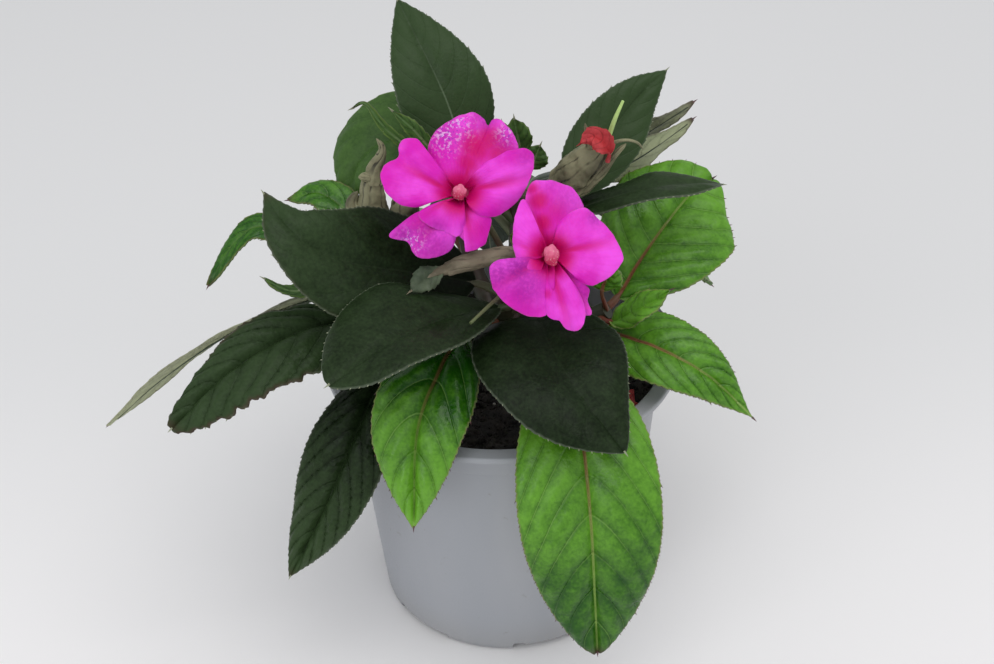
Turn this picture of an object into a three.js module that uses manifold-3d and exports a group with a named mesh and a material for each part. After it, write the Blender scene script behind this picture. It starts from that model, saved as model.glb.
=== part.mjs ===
// A potted New Guinea impatiens: a tapered plastic pot filled with soil, branching fleshy stems,
// toothed leaves with raised ribs, two open blooms, one faded bloom and some withered leaves.
// Millimetres, +Z up. The origin is the middle of the pot's underside, on the surface it stands on.
// -Y is the side that both open blooms face.
import * as THREE from "three";
import { mergeVertices } from "three/addons/utils/BufferGeometryUtils.js";
import Module from "manifold-3d";

const wasm = await Module();
wasm.setup();

// Clearance kept between neighbouring solids.
const GAP = 0.3;

// Pot. FOOT_FIRST_GAP is the middle of one gap, in degrees to the right of the front.
const POT_HEIGHT = 107;
const POT_RIM_RADIUS = 65;
const POT_BASE_RADIUS = 49.8;
const POT_LIP_OVERHANG = 4.2; // how far the lip stands out from the collar
const POT_LIP_THICKNESS = 1.6;
const POT_COLLAR_HEIGHT = 12;
const POT_COLLAR_DRAFT = 1.5;
const POT_COLLAR_STEP = 1.6;
const POT_COLLAR_RADIUS = POT_RIM_RADIUS - POT_LIP_OVERHANG;
const POT_WALL_TOP_RADIUS = POT_COLLAR_RADIUS - POT_COLLAR_DRAFT - POT_COLLAR_STEP;
const POT_EDGE_ROUND = 0.8;
const POT_WALL = 1.2;
const POT_FLOOR = 4.6;
const POT_HEEL_ROUND = 3;
const POT_SIDES = 36;
const FOOT_COUNT = 6;
const FOOT_GAP_DEGREES = 30;
const FOOT_GAP_HEIGHT = 3;
const FOOT_HUB_RADIUS = 14;
const FOOT_FIRST_GAP = -45;
const DRAIN_RADIUS = 4;
const DRAIN_CIRCLE = 34;
const NOTCH_WIDTH = 5;
const NOTCH_DEPTH = 8;
const NOTCH_BOTTOM = 1;
const NOTCH_TOP = 5;
const NOTCH_TURN = 12; // degrees from the middle of a foot gap

// Soil. Each lump wave is a share of the height, a rate along X and along Y, and a phase.
const SOIL_TOP = 96;
const SOIL_LUMP = 1.6;
const SOIL_WAVES = [
  [0.5, 0.21, 0.08, 0.6],
  [0.3, 0.43, -0.31, 1.1],
  [0.2, 0.52, 0.37, 1.6],
];
const SOIL_RINGS = 5;
const SOIL_SIDES = 30;
const STEM_ROOT_DEPTH = 26;

// Foliage. RIB_FADE is the share of its depth that a rib loses by the tip.
const BLADE_THICKNESS = 0.8;
const RIB_DEPTH = 1.1;
const RIB_FADE = 0.7;
const STALK_ROWS = 3;
const STALK_FLARE = 0.3; // how much thicker a leaf stalk is at its root
const STALK_EDGE_TURN = 81; // degrees from the stalk's crest to the edge of the leaf's rows
const TOOTH_GAP = 0.35; // where the gap after a tooth lies, in rows
const STEM_SIDES = 7;
const HUSK_SIDES = 8;
const HUSK_ROWS = 6;
const STEM_ROWS = 5;

// Blooms. PETAL_ROOT is the share of a petal that its base leaves out; PETAL_CORNER and PETAL_ARC
// round its outer edge; PETAL_CUP lifts its side lobes, and PETAL_CURL turns its outer edge down.
const PETAL_THICKNESS = 0.8;
const PETAL_ROWS = 4;
const PETAL_COLUMNS = 6;
const PETAL_ROOT = 0.06;
const PETAL_CORNER = 0.42;
const PETAL_ARC = 0.1;
const PETAL_NOTCH_WIDTH = 0.25;
const PETAL_CUP = 2.2;
const PETAL_CURL = 2.5;
const THROAT_RADIUS = 3.2;
const THROAT_DEPTH = 6;
const EYE_RADIUS = 2.8;
const EYE_STRETCH = 1.25;
const BLOOM_STALK_RADII = [1.3, 1.1, 1.2];
const SPUR_RADII = [1.1, 0.9, 0.5];

const COLOURS = {
  pot: { color: 0xb4bac4, roughness: 0.55 },
  soil: { color: 0x2a211b, roughness: 1 },
  stem: { color: 0x7d8a4a, roughness: 0.5 },
  dark: { color: 0x2a3d2f, roughness: 0.45 },
  bright: { color: 0x4a8a2e, roughness: 0.4 },
  middle: { color: 0x3c6a2c, roughness: 0.5 },
  pale: { color: 0x9aa784, roughness: 0.7 },
  dried: { color: 0x8b7a5e, roughness: 0.9 },
  petal: { color: 0xd42bbd, roughness: 0.6 },
  eye: { color: 0xe0458a, roughness: 0.5 },
  fadedPetal: { color: 0xb0303c, roughness: 0.8 },
  spur: { color: 0xa7cf7f, roughness: 0.5 },
};

// Leaves.
// rib: points of the midrib, from the stem's axis by the blade's foot to the tip
// width: across the blade; face: where the upper face looks, at the foot and at the tip
// fold: slope of each half beside the rib; droop: how far each half bends back down
// belly, taper: where the blade is widest and how slim its tip is
// sides: shares of the width to the left and right, seen from the foot along the upper face
// wave: height and number of waves of the edge
// tooth: depth of the teeth; stalk: radius of the stalk; rows: one more than the teeth on each side
// across: stations from edge to edge
const LEAF_SHAPE = {
  fold: 0.3,
  droop: 0.3,
  belly: 0.75,
  taper: 1,
  sides: [1, 1],
  wave: [0.8, 2],
  tooth: 1.1,
  stalk: 1.5,
  rows: 8,
  across: [-1, -0.5, 0, 0.5, 1],
};
const SMALL_LEAF_SHAPE = { tooth: 0.6, stalk: 1, rows: 5, across: [-1, 0, 1] };

const LEAVES = [
  {
    name: "leaf_top",
    colour: "dark",
    rib: [[7, 14, 152], [-8, 14, 172], [-17, 20, 201], [-32, 38, 229]],
    width: 33,
    face: [[0.3, -0.8, 0.5], [0.1, -0.9, 0.4]],
  },
  {
    name: "leaf_back_left",
    colour: "middle",
    rib: [[8, 14, 144], [-8, 24, 160], [-30, 34, 176], [-47, 32, 173], [-56, 25, 157]],
    width: 42,
    face: [[0, -0.5, 0.9], [-0.4, -0.5, 0.8]],
  },
  {
    name: "leaf_small_curled",
    colour: "middle",
    rib: [[7, 15, 164], [-14, 3, 176], [-35.5, 6, 194], [-43, 7, 204.5], [-48, 7, 203]],
    width: 4,
    face: [[0, -0.8, 0.6], [-0.3, -0.8, 0.5]],
    stalk: 1.1,
    rows: 6,
  },
  {
    name: "leaf_small_left",
    colour: "bright",
    rib: [[-37, -7, 130], [-45, 8, 150], [-62, 20, 163], [-76, 24, 159]],
    width: 15,
    face: [[0, -0.5, 0.9], [0, -0.5, 0.9]],
    stalk: 1.1,
    rows: 6,
  },
  {
    name: "leaf_arched_left",
    colour: "bright",
    rib: [[-25, -5, 123], [-58, 10, 140], [-84, 24, 148], [-97, 22, 143.5], [-108, 16, 128]],
    width: 10.5,
    face: [[0, -0.5, 0.9], [-0.6, -0.5, 0.6]],
    taper: 0.8,
  },
  {
    name: "leaf_left_upper",
    colour: "dark",
    rib: [
      [3, -21, 143], [-8, -21, 149], [-30, -25, 157],
      [-52, -32, 167], [-67, -32, 179], [-77, -20, 187],
    ],
    width: 42,
    face: [[0, -0.6, 0.8], [0.5, -0.7, 0.5]],
    taper: 1.15,
  },
  {
    name: "leaf_left_lower",
    colour: "dark",
    rib: [[-36, -10, 131], [-46, -20, 136], [-68, -35, 142], [-92, -50, 136], [-112, -58, 119]],
    width: 29,
    face: [[0, -0.5, 0.9], [-0.2, -0.5, 0.9]],
    belly: 0.45,
    taper: 0.6,
    sides: [1.2, 0.78],
  },
  {
    name: "leaf_far_left",
    colour: "pale",
    rib: [
      [-41, -7, 134], [-62, -3, 135], [-93, -10, 127.5],
      [-121, -18, 113], [-144, -22, 94],
    ],
    width: 12,
    face: [[-0.45, 0.6, 0.6], [-0.45, 0.6, 0.6]],
    belly: 0.4,
    taper: 0.3,
  },
  {
    name: "leaf_front_left",
    colour: "dark",
    rib: [[3, -20, 139], [0, -30, 144.5], [-16, -49, 154.5], [-36, -65, 156], [-55, -78, 149]],
    width: 42,
    face: [[0, -0.2, 1], [0, -0.1, 1]],
    belly: 0.95,
    taper: 0.7,
    sides: [0.68, 1.2],
  },
  {
    name: "leaf_front_right",
    colour: "dark",
    rib: [[3, -17, 136], [12, -29, 141], [15.5, -50, 142.5], [24, -69, 137], [38, -83, 122]],
    width: 53,
    face: [[0, -0.3, 1], [0.1, -0.5, 0.9]],
    belly: 0.5,
    taper: 0.85,
    sides: [0.88, 1],
  },
  {
    name: "leaf_front_middle",
    colour: "bright",
    rib: [[1, -12, 129], [-13, -30, 135], [-22, -48, 131], [-29.5, -64, 118], [-32, -77, 88]],
    width: 33,
    face: [[0, -0.3, 1], [-0.1, -0.8, 0.6]],
  },
  {
    name: "leaf_lower_left",
    colour: "dark",
    rib: [[-20, -4, 120], [-38, -28, 123], [-51, -49, 109], [-64, -57, 82], [-79, -60, 52]],
    width: 29,
    face: [[0, -0.5, 0.9], [-0.3, -0.9, 0.4]],
  },
  {
    name: "leaf_front_low",
    colour: "bright",
    rib: [
      [20, -5, 115], [22, -32, 124], [25, -66, 119],
      [27, -84, 95], [28, -90, 68], [29, -92, 41],
    ],
    width: 48,
    face: [[0, -0.3, 1], [0, -1, 0.3]],
    taper: 0.78,
  },
  {
    name: "leaf_right_round",
    colour: "bright",
    rib: [[33, -7, 123], [42, -3, 129], [50, 5, 138], [61, 17, 147], [72, 28, 154], [81, 35, 156]],
    width: 52,
    face: [[-0.2, -0.6, 0.8], [0.1, -0.6, 0.8]],
    belly: 0.6,
    taper: 0.4,
    sides: [0.9, 1],
  },
  {
    name: "leaf_right_upper",
    colour: "dark",
    rib: [[8, 13, 143], [23, 4, 160], [50, 1, 171], [68, 4, 171], [80, 8, 168]],
    width: 19,
    face: [[0, 0, 1], [0, 0, 1]],
    taper: 0.8,
  },
  {
    name: "leaf_right_small",
    colour: "bright",
    rib: [[34, -8, 125], [39, -18, 129], [48, -25, 139.5], [58.5, -28, 148]],
    width: 11,
    face: [[0, -0.6, 0.8], [0, -0.6, 0.8]],
    stalk: 1.1,
    rows: 6,
  },
  {
    name: "leaf_right_lower",
    colour: "bright",
    rib: [[28, -6, 122], [36, -15, 124], [55, -30, 125], [72, -37, 117], [87, -42, 102]],
    width: 28,
    face: [[0, -0.5, 0.9], [0.1, -0.6, 0.8]],
    belly: 0.6,
    taper: 1.2,
  },
  {
    name: "leaf_top_right",
    colour: "dark",
    rib: [[8, 14, 154], [24, 16, 161], [38, 26, 175], [51, 36, 188], [63, 42, 197]],
    width: 25,
    face: [[0, -0.8, 0.6], [0.1, -0.8, 0.5]],
  },
  {
    name: "leaf_pale_upper",
    colour: "pale",
    rib: [[9, 15, 146], [32, 40, 160], [56, 49, 168], [76, 58, 176]],
    width: 12,
    face: [[-0.4, 0.85, 0.3], [-0.4, 0.85, 0.3]],
    stalk: 1.1,
    rows: 6,
  },
  {
    name: "leaf_pale_lower",
    colour: "pale",
    rib: [[9, 14, 141], [34, 33, 155], [56, 43, 163], [75, 52, 172]],
    width: 17,
    face: [[-0.4, 0.85, 0.3], [-0.4, 0.85, 0.3]],
    stalk: 1.1,
    rows: 6,
  },
  {
    name: "leaf_rear_high",
    colour: "dark",
    rib: [[8, 14, 150], [10, 28, 154], [14, 50, 150], [17, 70, 138], [19, 86, 116]],
    width: 40,
    face: [[0, 0.2, 1], [0, 0.8, 0.6]],
  },
  {
    name: "leaf_rear_left",
    colour: "bright",
    rib: [[-9, 25, 127], [-19, 42, 133], [-36, 57, 131], [-50, 69, 118], [-61, 79, 97]],
    width: 40,
    face: [[0, 0.2, 1], [-0.3, 0.8, 0.6]],
  },
  {
    name: "leaf_rear_middle",
    colour: "dark",
    rib: [[-12, 34, 134], [-11, 50, 137], [-7, 68, 131], [-4, 84, 114], [-3, 92, 92]],
    width: 42,
    face: [[0, 0.3, 1], [0, 0.9, 0.4]],
  },
  {
    name: "leaf_rear_side_left",
    colour: "dark",
    rib: [[-7, 18, 121], [-26, 30, 126], [-46, 40, 124], [-62, 46, 116], [-76, 50, 102]],
    width: 36,
    face: [[0, 0.1, 1], [-0.5, 0.2, 0.8]],
  },
  {
    name: "leaf_rear_right",
    colour: "dark",
    rib: [[24, 32, 129], [30, 48, 134], [41, 64, 131], [50, 76, 120], [57, 87, 102]],
    width: 37,
    face: [[0, 0.2, 1], [0.3, 0.7, 0.7]],
  },
  {
    name: "leaf_rear_low",
    colour: "bright",
    rib: [[15, 17, 118], [22, 38, 119], [27, 60, 114], [31, 76, 98], [34, 86, 76]],
    width: 36,
    face: [[0, 0.2, 1], [0.2, 0.9, 0.4]],
  },
  {
    name: "leaf_rear_side_right",
    colour: "bright",
    rib: [[18, 20, 120], [34, 22, 130], [52, 26, 134], [68, 30, 126], [82, 32, 110]],
    width: 32,
    face: [[0, 0.1, 1], [0.5, 0.3, 0.8]],
  },
];

// Small leaves at the shoots' tips, and dried leaves and sepals, each cluster joined in one body.
// A husk is a papery tube: a withered bud, a rolled leaf or a strand of it.
const CLUSTERS = [
  {
    name: "young_leaves_front",
    colour: "bright",
    blades: [
      {
        rib: [[5, -25, 152], [9, -21, 158], [15, -15, 166]],
        width: 9,
        face: [[0, -0.6, 1], [0, -0.3, 1]],
      },
      {
        rib: [[5, -25, 152], [7, -21, 161], [9, -17, 171]],
        width: 8,
        face: [[0, -1, 0.3], [0, -1, 0.3]],
      },
    ],
  },
  {
    name: "young_leaves_back",
    colour: "middle",
    blades: [
      {
        rib: [[7, 15, 168], [9, 15, 178], [7, 14, 194]],
        width: 10,
        face: [[0, -1, 0.2], [0, -1, 0.2]],
      },
      {
        rib: [[7, 15, 168], [12, 14, 174], [16, 16, 182]],
        width: 10,
        face: [[0, -0.9, 0.4], [0, -0.9, 0.4]],
      },
      {
        rib: [[7, 15, 168], [5, 22, 177], [3, 30, 184]],
        width: 9,
        face: [[0, -0.5, 0.8], [0, -0.3, 1]],
      },
      {
        rib: [[7, 15, 168], [-18, 5, 185], [-28, 5, 196], [-34.5, 6, 202.5]],
        width: 6,
        face: [[-0.3, -0.8, 0.5], [-0.3, -0.8, 0.5]],
      },
    ],
  },
  {
    name: "young_leaves_right",
    colour: "bright",
    blades: [
      {
        rib: [[38, -9, 128], [36, -11, 138], [40, -14, 150]],
        width: 12,
        face: [[0, -0.9, 0.4], [0, -0.9, 0.4]],
      },
    ],
  },
  {
    name: "young_leaves_left",
    colour: "middle",
    blades: [
      {
        rib: [[-46, -9, 138], [-60, -10, 142], [-74, -9, 141], [-83, -8, 146]],
        width: 5,
        face: [[0, -0.5, 1], [0, -0.5, 1]],
      },
      {
        rib: [[-46, -9, 138], [-56, -10, 144], [-70, -10, 146]],
        width: 5,
        face: [[0, -0.6, 0.8], [0, -0.6, 0.8]],
      },
    ],
  },
  {
    name: "curled_leaf",
    colour: "dried",
    blades: [
      {
        rib: [[-10, -32, 165], [-18, -35, 164], [-24.5, -38.5, 162.5], [-29.5, -42.5, 160.5]],
        width: 10,
        face: [[0.3, -0.6, 0.8], [0.3, -0.6, 0.8]],
      },
    ],
    husks: [
      {
        points: [[4, -25, 149.5], [1, -29, 158], [5, -30, 166], [-6, -31, 165], [-19, -35, 163.5]],
        radii: [1.1, 1.3, 2.5, 3, 2.4],
      },
    ],
  },
  {
    name: "withered_leaves",
    colour: "dried",
    husks: [
      {
        points: [[-43, -7, 136], [-41, -2, 150], [-42, 0, 162], [-43, 0, 172], [-42, 0, 181]],
        radii: [1.1, 1.6, 4, 5, 3.6],
      },
      {
        points: [[-42, 0, 179], [-39, 0, 187], [-38.3, 0, 191], [-39.9, 0, 195]],
        radii: [3.6, 3, 1.4, 0.6],
      },
      { points: [[-43, 0, 158], [-48, 0.5, 164], [-50, 1, 170], [-48, 1, 174.5]], radii: [3, 4, 3, 0.8] },
      { points: [[-41, -1, 180], [-44.5, -2, 181.5], [-47, -2, 181.5]], radii: [1.6, 1.8, 0.9] },
    ],
  },
  {
    name: "faded_bloom",
    colour: "dried",
    husks: [
      {
        points: [[7, 14, 164], [14, 10, 166], [21, 7, 168.5], [26, 6, 173.5], [30.5, 5, 179]],
        radii: [1.2, 2, 4.6, 6.4, 6.8],
      },
      {
        points: [[26, 6, 173.5], [30.5, 5, 179], [34.5, 4.5, 184], [38, 4, 188]],
        radii: [6, 6.8, 5.4, 2.2],
      },
      {
        points: [[24, 5, 167], [31, 3.5, 172.5], [37, 3, 179], [42, 3, 185.5], [44.8, 3, 188.3]],
        radii: [1.2, 2, 2, 1.2, 0.6],
      },
      {
        points: [[37, 3.5, 187], [42, 2.5, 189.3], [45.5, 2, 189.8], [48.8, 2, 188.6], [50.6, 2, 186]],
        radii: [1, 0.7, 0.6, 0.5, 0.4],
      },
      { points: [[33, 3.5, 186], [31.4, 1.5, 193], [30.6, 1, 197.4]], radii: [1.8, 1.2, 0.5] },
    ],
  },
  {
    name: "faded_bloom_petals",
    colour: "fadedPetal",
    fold: 0.9,
    blades: [
      {
        rib: [[38.2, -1.5, 183.8], [38.6, -2, 187.4], [36.5, -1.5, 191.2], [33, -1, 193.2], [28.8, -0.5, 190.3]],
        width: 8,
        face: [[0, -0.9, 0.4], [0, -0.9, 0.4]],
      },
    ],
  },
  {
    name: "fallen_petal",
    colour: "fadedPetal",
    fold: 0.5,
    blades: [
      {
        rib: [[38, -22, 100], [40, -24, 100], [44, -26.5, 101], [48, -28, 100]],
        width: 9,
        face: [[0, 0, 1], [0, 0, 1]],
      },
    ],
  },
];

// Stems: the main one from the soil, then its branches, each thinner towards its tip.
const STEMS = [
  {
    points: [[0, 0, SOIL_TOP - STEM_ROOT_DEPTH], [0, 1, 92], [1, 0, 114]],
    radii: [5, 5.2, 5],
  },
  {
    points: [[1, 0, 108], [0, -6, 120], [1, -14, 132], [4, -25, 151]],
    radii: [4.6, 4, 3.8, 3.2],
  },
  {
    points: [[1, 0, 110], [-10, -2, 116], [-26, -5, 124], [-46, -9, 138]],
    radii: [4.4, 3.8, 3.5, 3.2],
  },
  {
    points: [[1, 0, 108], [12, -3, 112], [24, -5, 118], [38, -9, 128]],
    radii: [4.4, 3.8, 3.5, 3.2],
  },
  {
    points: [[1, 0, 110], [4, 8, 124], [8, 14, 146], [7, 15, 168]],
    radii: [4.6, 4, 3.8, 3.2],
  },
  {
    points: [[1, 0, 110], [-4, 12, 118], [-10, 26, 128], [-12, 38, 138]],
    radii: [4.2, 3.8, 3.4, 3],
  },
  {
    points: [[1, 0, 108], [10, 10, 114], [20, 24, 122], [26, 36, 132]],
    radii: [4.2, 3.8, 3.4, 3],
  },
];

// Blooms.
// petals: angle of each round the face, with 0 to the right and 90 up, its length and width, the
// depth of its notch, how far it leans back, and how far in front of the innermost layer it lies
// stalk: from the stem to the back of the bloom; spur: the hollow sepal's thin tail
const BLOOMS = [
  {
    name: "bloom_left",
    centre: [-12, -26, 187],
    face: [0, -0.82, 0.57],
    stalk: [[4, -24, 149], [2, -18, 158], [-6, -14, 173], [-12, -18, 182], [-12, -23, 184.8]],
    spur: [[-11, -17, 179], [-14, -12, 178], [-18, -6, 170], [-18, -6, 158]],
    petals: [
      { angle: 81, length: 29, width: 32, notch: 0.1, lean: 8, layer: 0 },
      { angle: 229, length: 27, width: 24, notch: 0.2, lean: 7, layer: 0.2 },
      { angle: 159, length: 28, width: 26, notch: 0.04, lean: 4, layer: 1.4 },
      { angle: 10, length: 25, width: 24, notch: 0.12, lean: 8, layer: 1.6 },
      { angle: 283, length: 22, width: 16, notch: 0.1, lean: 4, layer: 1.2 },
      { angle: 215, length: 16, width: 16, notch: 0.1, lean: 0, layer: 2.8 },
    ],
  },
  {
    name: "bloom_right",
    centre: [16, -44, 173],
    face: [0.1, -0.82, 0.57],
    stalk: [[5, -26, 149], [11, -28, 157], [15, -34, 166], [15.6, -41, 170.8]],
    spur: [[15, -36, 167], [7, -34, 158], [-2, -46, 158], [-10, -57, 157]],
    petals: [
      { angle: 84, length: 27, width: 26, notch: 0.1, lean: 0, layer: 0 },
      { angle: 308, length: 23, width: 17, notch: 0.12, lean: 14, layer: 0 },
      { angle: 178, length: 19, width: 27, notch: 0.12, lean: 34, layer: 1.2 },
      { angle: 7, length: 25, width: 27, notch: 0.12, lean: 6, layer: 1.6 },
      { angle: 213, length: 23, width: 25, notch: 0.1, lean: 8, layer: 2.4 },
      { angle: 282, length: 27, width: 22, notch: 0.16, lean: 6, layer: 2.8 },
    ],
  },
];

// The thin green spur that a faded bloom leaves behind.
const FADED_SPUR = {
  points: [[38.4, 3, 189.5], [40.9, 3, 197.5], [43.5, 3, 204.1]],
  radii: [0.9, 0.8, 0.6],
};

const vector = (p) => new THREE.Vector3(...p);
const radians = THREE.MathUtils.degToRad;

// A closed geometry as a solid with its faces pointing out.
function solidOf(geometry) {
  const bare = geometry.clone();
  bare.deleteAttribute("normal");
  bare.deleteAttribute("uv");
  const merged = mergeVertices(bare, 1e-4);
  const vertProperties = merged.attributes.position.array;
  const build = (triVerts) =>
    new wasm.Manifold(new wasm.Mesh({ numProp: 3, vertProperties, triVerts }));
  const triVerts = new Uint32Array(merged.index.array);
  const made = build(triVerts);
  return made.volume() > 0 ? made : build(triVerts.slice().reverse());
}

function geometryOf(solid) {
  const { vertProperties, triVerts } = solid.getMesh();
  const geometry = new THREE.BufferGeometry()
    .setAttribute("position", new THREE.BufferAttribute(vertProperties, 3))
    .setIndex(new THREE.BufferAttribute(triVerts, 1));
  geometry.computeVertexNormals();
  return geometry;
}

const joined = (solids) => solids.reduce((all, one) => all.add(one));

// The largest body of a solid, without the scraps that a cut can leave.
const mainBody = (solid) =>
  solid.decompose().reduce((best, one) => (one.volume() > best.volume() ? one : best));

function indexed(points, triangles) {
  const flat = points.flatMap((p) => [p.x, p.y, p.z]);
  return new THREE.BufferGeometry()
    .setAttribute("position", new THREE.Float32BufferAttribute(flat, 3))
    .setIndex(triangles.flat());
}

// A smooth curve through points, with distance along it counted from 0 to 1.
function curveThrough(points) {
  return new THREE.CatmullRomCurve3(points.map(vector), false, "catmullrom", 0.5);
}

// A round tube with closed ends along a curve; its radius follows the list of radii.
function tube(points, radii, sides, rows) {
  const curve = curveThrough(points);
  const frames = curve.computeFrenetFrames(rows, false);
  const rings = [];
  for (let i = 0; i <= rows; i++) {
    const along = (i / rows) * (radii.length - 1);
    const k = Math.min(Math.floor(along), radii.length - 2);
    const radius = THREE.MathUtils.lerp(radii[k], radii[k + 1], along - k);
    const middle = curve.getPointAt(i / rows);
    for (let j = 0; j < sides; j++) {
      const turn = (j / sides) * 2 * Math.PI;
      rings.push(
        middle
          .clone()
          .addScaledVector(frames.normals[i], Math.cos(turn) * radius)
          .addScaledVector(frames.binormals[i], Math.sin(turn) * radius),
      );
    }
  }
  const triangles = [];
  for (let i = 0; i < rows; i++) {
    for (let j = 0; j < sides; j++) {
      const a = i * sides + j;
      const b = i * sides + ((j + 1) % sides);
      triangles.push([a, b, b + sides], [a, b + sides, a + sides]);
    }
  }
  const last = rows * sides;
  for (let j = 1; j < sides - 1; j++) {
    triangles.push([0, j + 1, j], [last, last + j, last + j + 1]);
  }
  return solidOf(indexed(rings, triangles));
}

// A sheet given by pairs of upper and lower points and the triangles of its upper face. The lower
// face is split alike, and a rim closes the edge.
function thickSheet(pairs, triangles) {
  const count = pairs.length;
  const points = [...pairs.map((p) => p.upper), ...pairs.map((p) => p.lower)];
  const faces = [];
  const edges = new Map();
  for (const [a, b, c] of triangles) {
    faces.push([a, b, c], [a + count, c + count, b + count]);
    for (const [from, to] of [
      [a, b],
      [b, c],
      [c, a],
    ]) {
      if (!edges.delete(to + "," + from)) edges.set(from + "," + to, [from, to]);
    }
  }
  for (const [from, to] of edges.values()) {
    faces.push([to, from, from + count], [to, from + count, to + count]);
  }
  return solidOf(indexed(points, faces));
}

// A place on the leaf, at a share s of the whole rib curve and v across it, from -1 to 1.
function leafFrame(leaf, s) {
  const u = Math.max(0, (s - leaf.start) / (1 - leaf.start));
  const tangent = leaf.curve.getTangentAt(s);
  const normal = vector(leaf.face[0]).lerp(vector(leaf.face[1]), u);
  normal.addScaledVector(tangent, -normal.dot(tangent)).normalize();
  const side = tangent.clone().cross(normal);
  return { u, middle: leaf.curve.getPointAt(s), tangent, normal, side };
}

// A pair of points on the round stalk.
function stalkPair(leaf, s, v) {
  const { middle, normal, side } = leafFrame(leaf, s);
  const radius = leaf.stalk * (1 + STALK_FLARE * (1 - s / leaf.start));
  const turn = v * radians(STALK_EDGE_TURN);
  const edge = middle.clone().addScaledVector(side, Math.sin(turn) * radius);
  const rise = Math.cos(turn) * radius;
  return {
    upper: edge.clone().addScaledVector(normal, rise),
    lower: edge.clone().addScaledVector(normal, -rise),
  };
}

function halfWidth(leaf, u) {
  const widest = leaf.belly / (leaf.belly + leaf.taper);
  const shape = (t) => t ** leaf.belly * (1 - t) ** leaf.taper;
  return (leaf.width / 2) * (shape(u) / shape(widest));
}

// A pair of points on the blade; a tooth stands out of the edge and leans to the tip.
function bladePair(leaf, s, v, tooth) {
  const { u, middle, tangent, normal, side } = leafFrame(leaf, s);
  const half = halfWidth(leaf, u) * leaf.sides[v < 0 ? 0 : 1];
  const [height, count] = leaf.wave;
  const turns = count * u + (v > 0 ? 0.25 : 0);
  const wave = height * v * v * Math.sin(2 * Math.PI * turns);
  const lift = half * (leaf.fold * Math.abs(v) - leaf.droop * v * v) + wave;
  const upper = middle
    .clone()
    .addScaledVector(side, v * half + Math.sign(v) * tooth)
    .addScaledVector(tangent, tooth)
    .addScaledVector(normal, lift + BLADE_THICKNESS / 2);
  const rib = v === 0 ? RIB_DEPTH * (1 - RIB_FADE * u) : 0;
  const lower = upper.clone().addScaledVector(normal, -BLADE_THICKNESS - rib);
  return { upper, lower };
}

// The share of the whole rib curve that lies in the stalk, up to the second point.
function stalkShare(curve, points) {
  const divisions = 200;
  const lengths = curve.getLengths(divisions);
  return lengths[Math.round(divisions / (points.length - 1))] / lengths[divisions];
}

// A leaf as one sheet: rows of points across the stalk and then the blade. Each blade row ends in
// a tooth on both edges, and is followed by the two gap points between its teeth and the next.
function leafSolid(spec) {
  const leaf = { ...LEAF_SHAPE, ...spec };
  leaf.curve = curveThrough(leaf.rib);
  leaf.start = stalkShare(leaf.curve, leaf.rib);
  const pairs = [];
  const triangles = [];
  const add = (pair) => pairs.push(pair) - 1;
  const along = (u) => leaf.start + (1 - leaf.start) * u;
  const end = leaf.across.length - 1;
  let last = null;
  const strip = (row, gaps) => {
    for (let k = 0; last && k < end; k++) {
      const [a, b, c, d] = [last.row[k], last.row[k + 1], row[k + 1], row[k]];
      if (k === 0 && last.gaps) {
        const gap = last.gaps[0];
        triangles.push([a, b, gap], [gap, b, c], [gap, c, d]);
      } else if (k === end - 1 && last.gaps) {
        const gap = last.gaps[1];
        triangles.push([a, b, gap], [a, gap, d], [d, gap, c]);
      } else if (k < end / 2) {
        triangles.push([a, b, c], [a, c, d]);
      } else {
        triangles.push([a, b, d], [b, c, d]);
      }
    }
    last = { row, gaps };
  };
  for (let i = 0; i < STALK_ROWS; i++) {
    strip(leaf.across.map((v) => add(stalkPair(leaf, (leaf.start * i) / (STALK_ROWS - 1), v))));
  }
  for (let i = 1; i < leaf.rows; i++) {
    const row = leaf.across.map((v) => {
      const tooth = Math.abs(v) === 1 ? leaf.tooth : 0;
      return add(bladePair(leaf, along(i / leaf.rows), v, tooth));
    });
    const gapAt = along((i + TOOTH_GAP) / leaf.rows);
    strip(row, [-1, 1].map((v) => add(bladePair(leaf, gapAt, v, 0))));
  }
  const tip = add(bladePair(leaf, 1, 0, 0));
  const { row, gaps } = last;
  triangles.push([row[0], row[1], gaps[0]], [gaps[0], row[1], tip]);
  for (let k = 1; k < end - 1; k++) triangles.push([row[k], row[k + 1], tip]);
  triangles.push([row[end - 1], gaps[1], tip], [row[end - 1], row[end], gaps[1]]);
  return thickSheet(pairs, triangles);
}

// All stems as one solid, with every radius larger by extra.
function stemSolid(extra) {
  const grown = (radii) => radii.map((r) => r + extra);
  return joined(
    STEMS.map(({ points, radii }) => tube(points, grown(radii), STEM_SIDES, STEM_ROWS)),
  );
}

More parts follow.
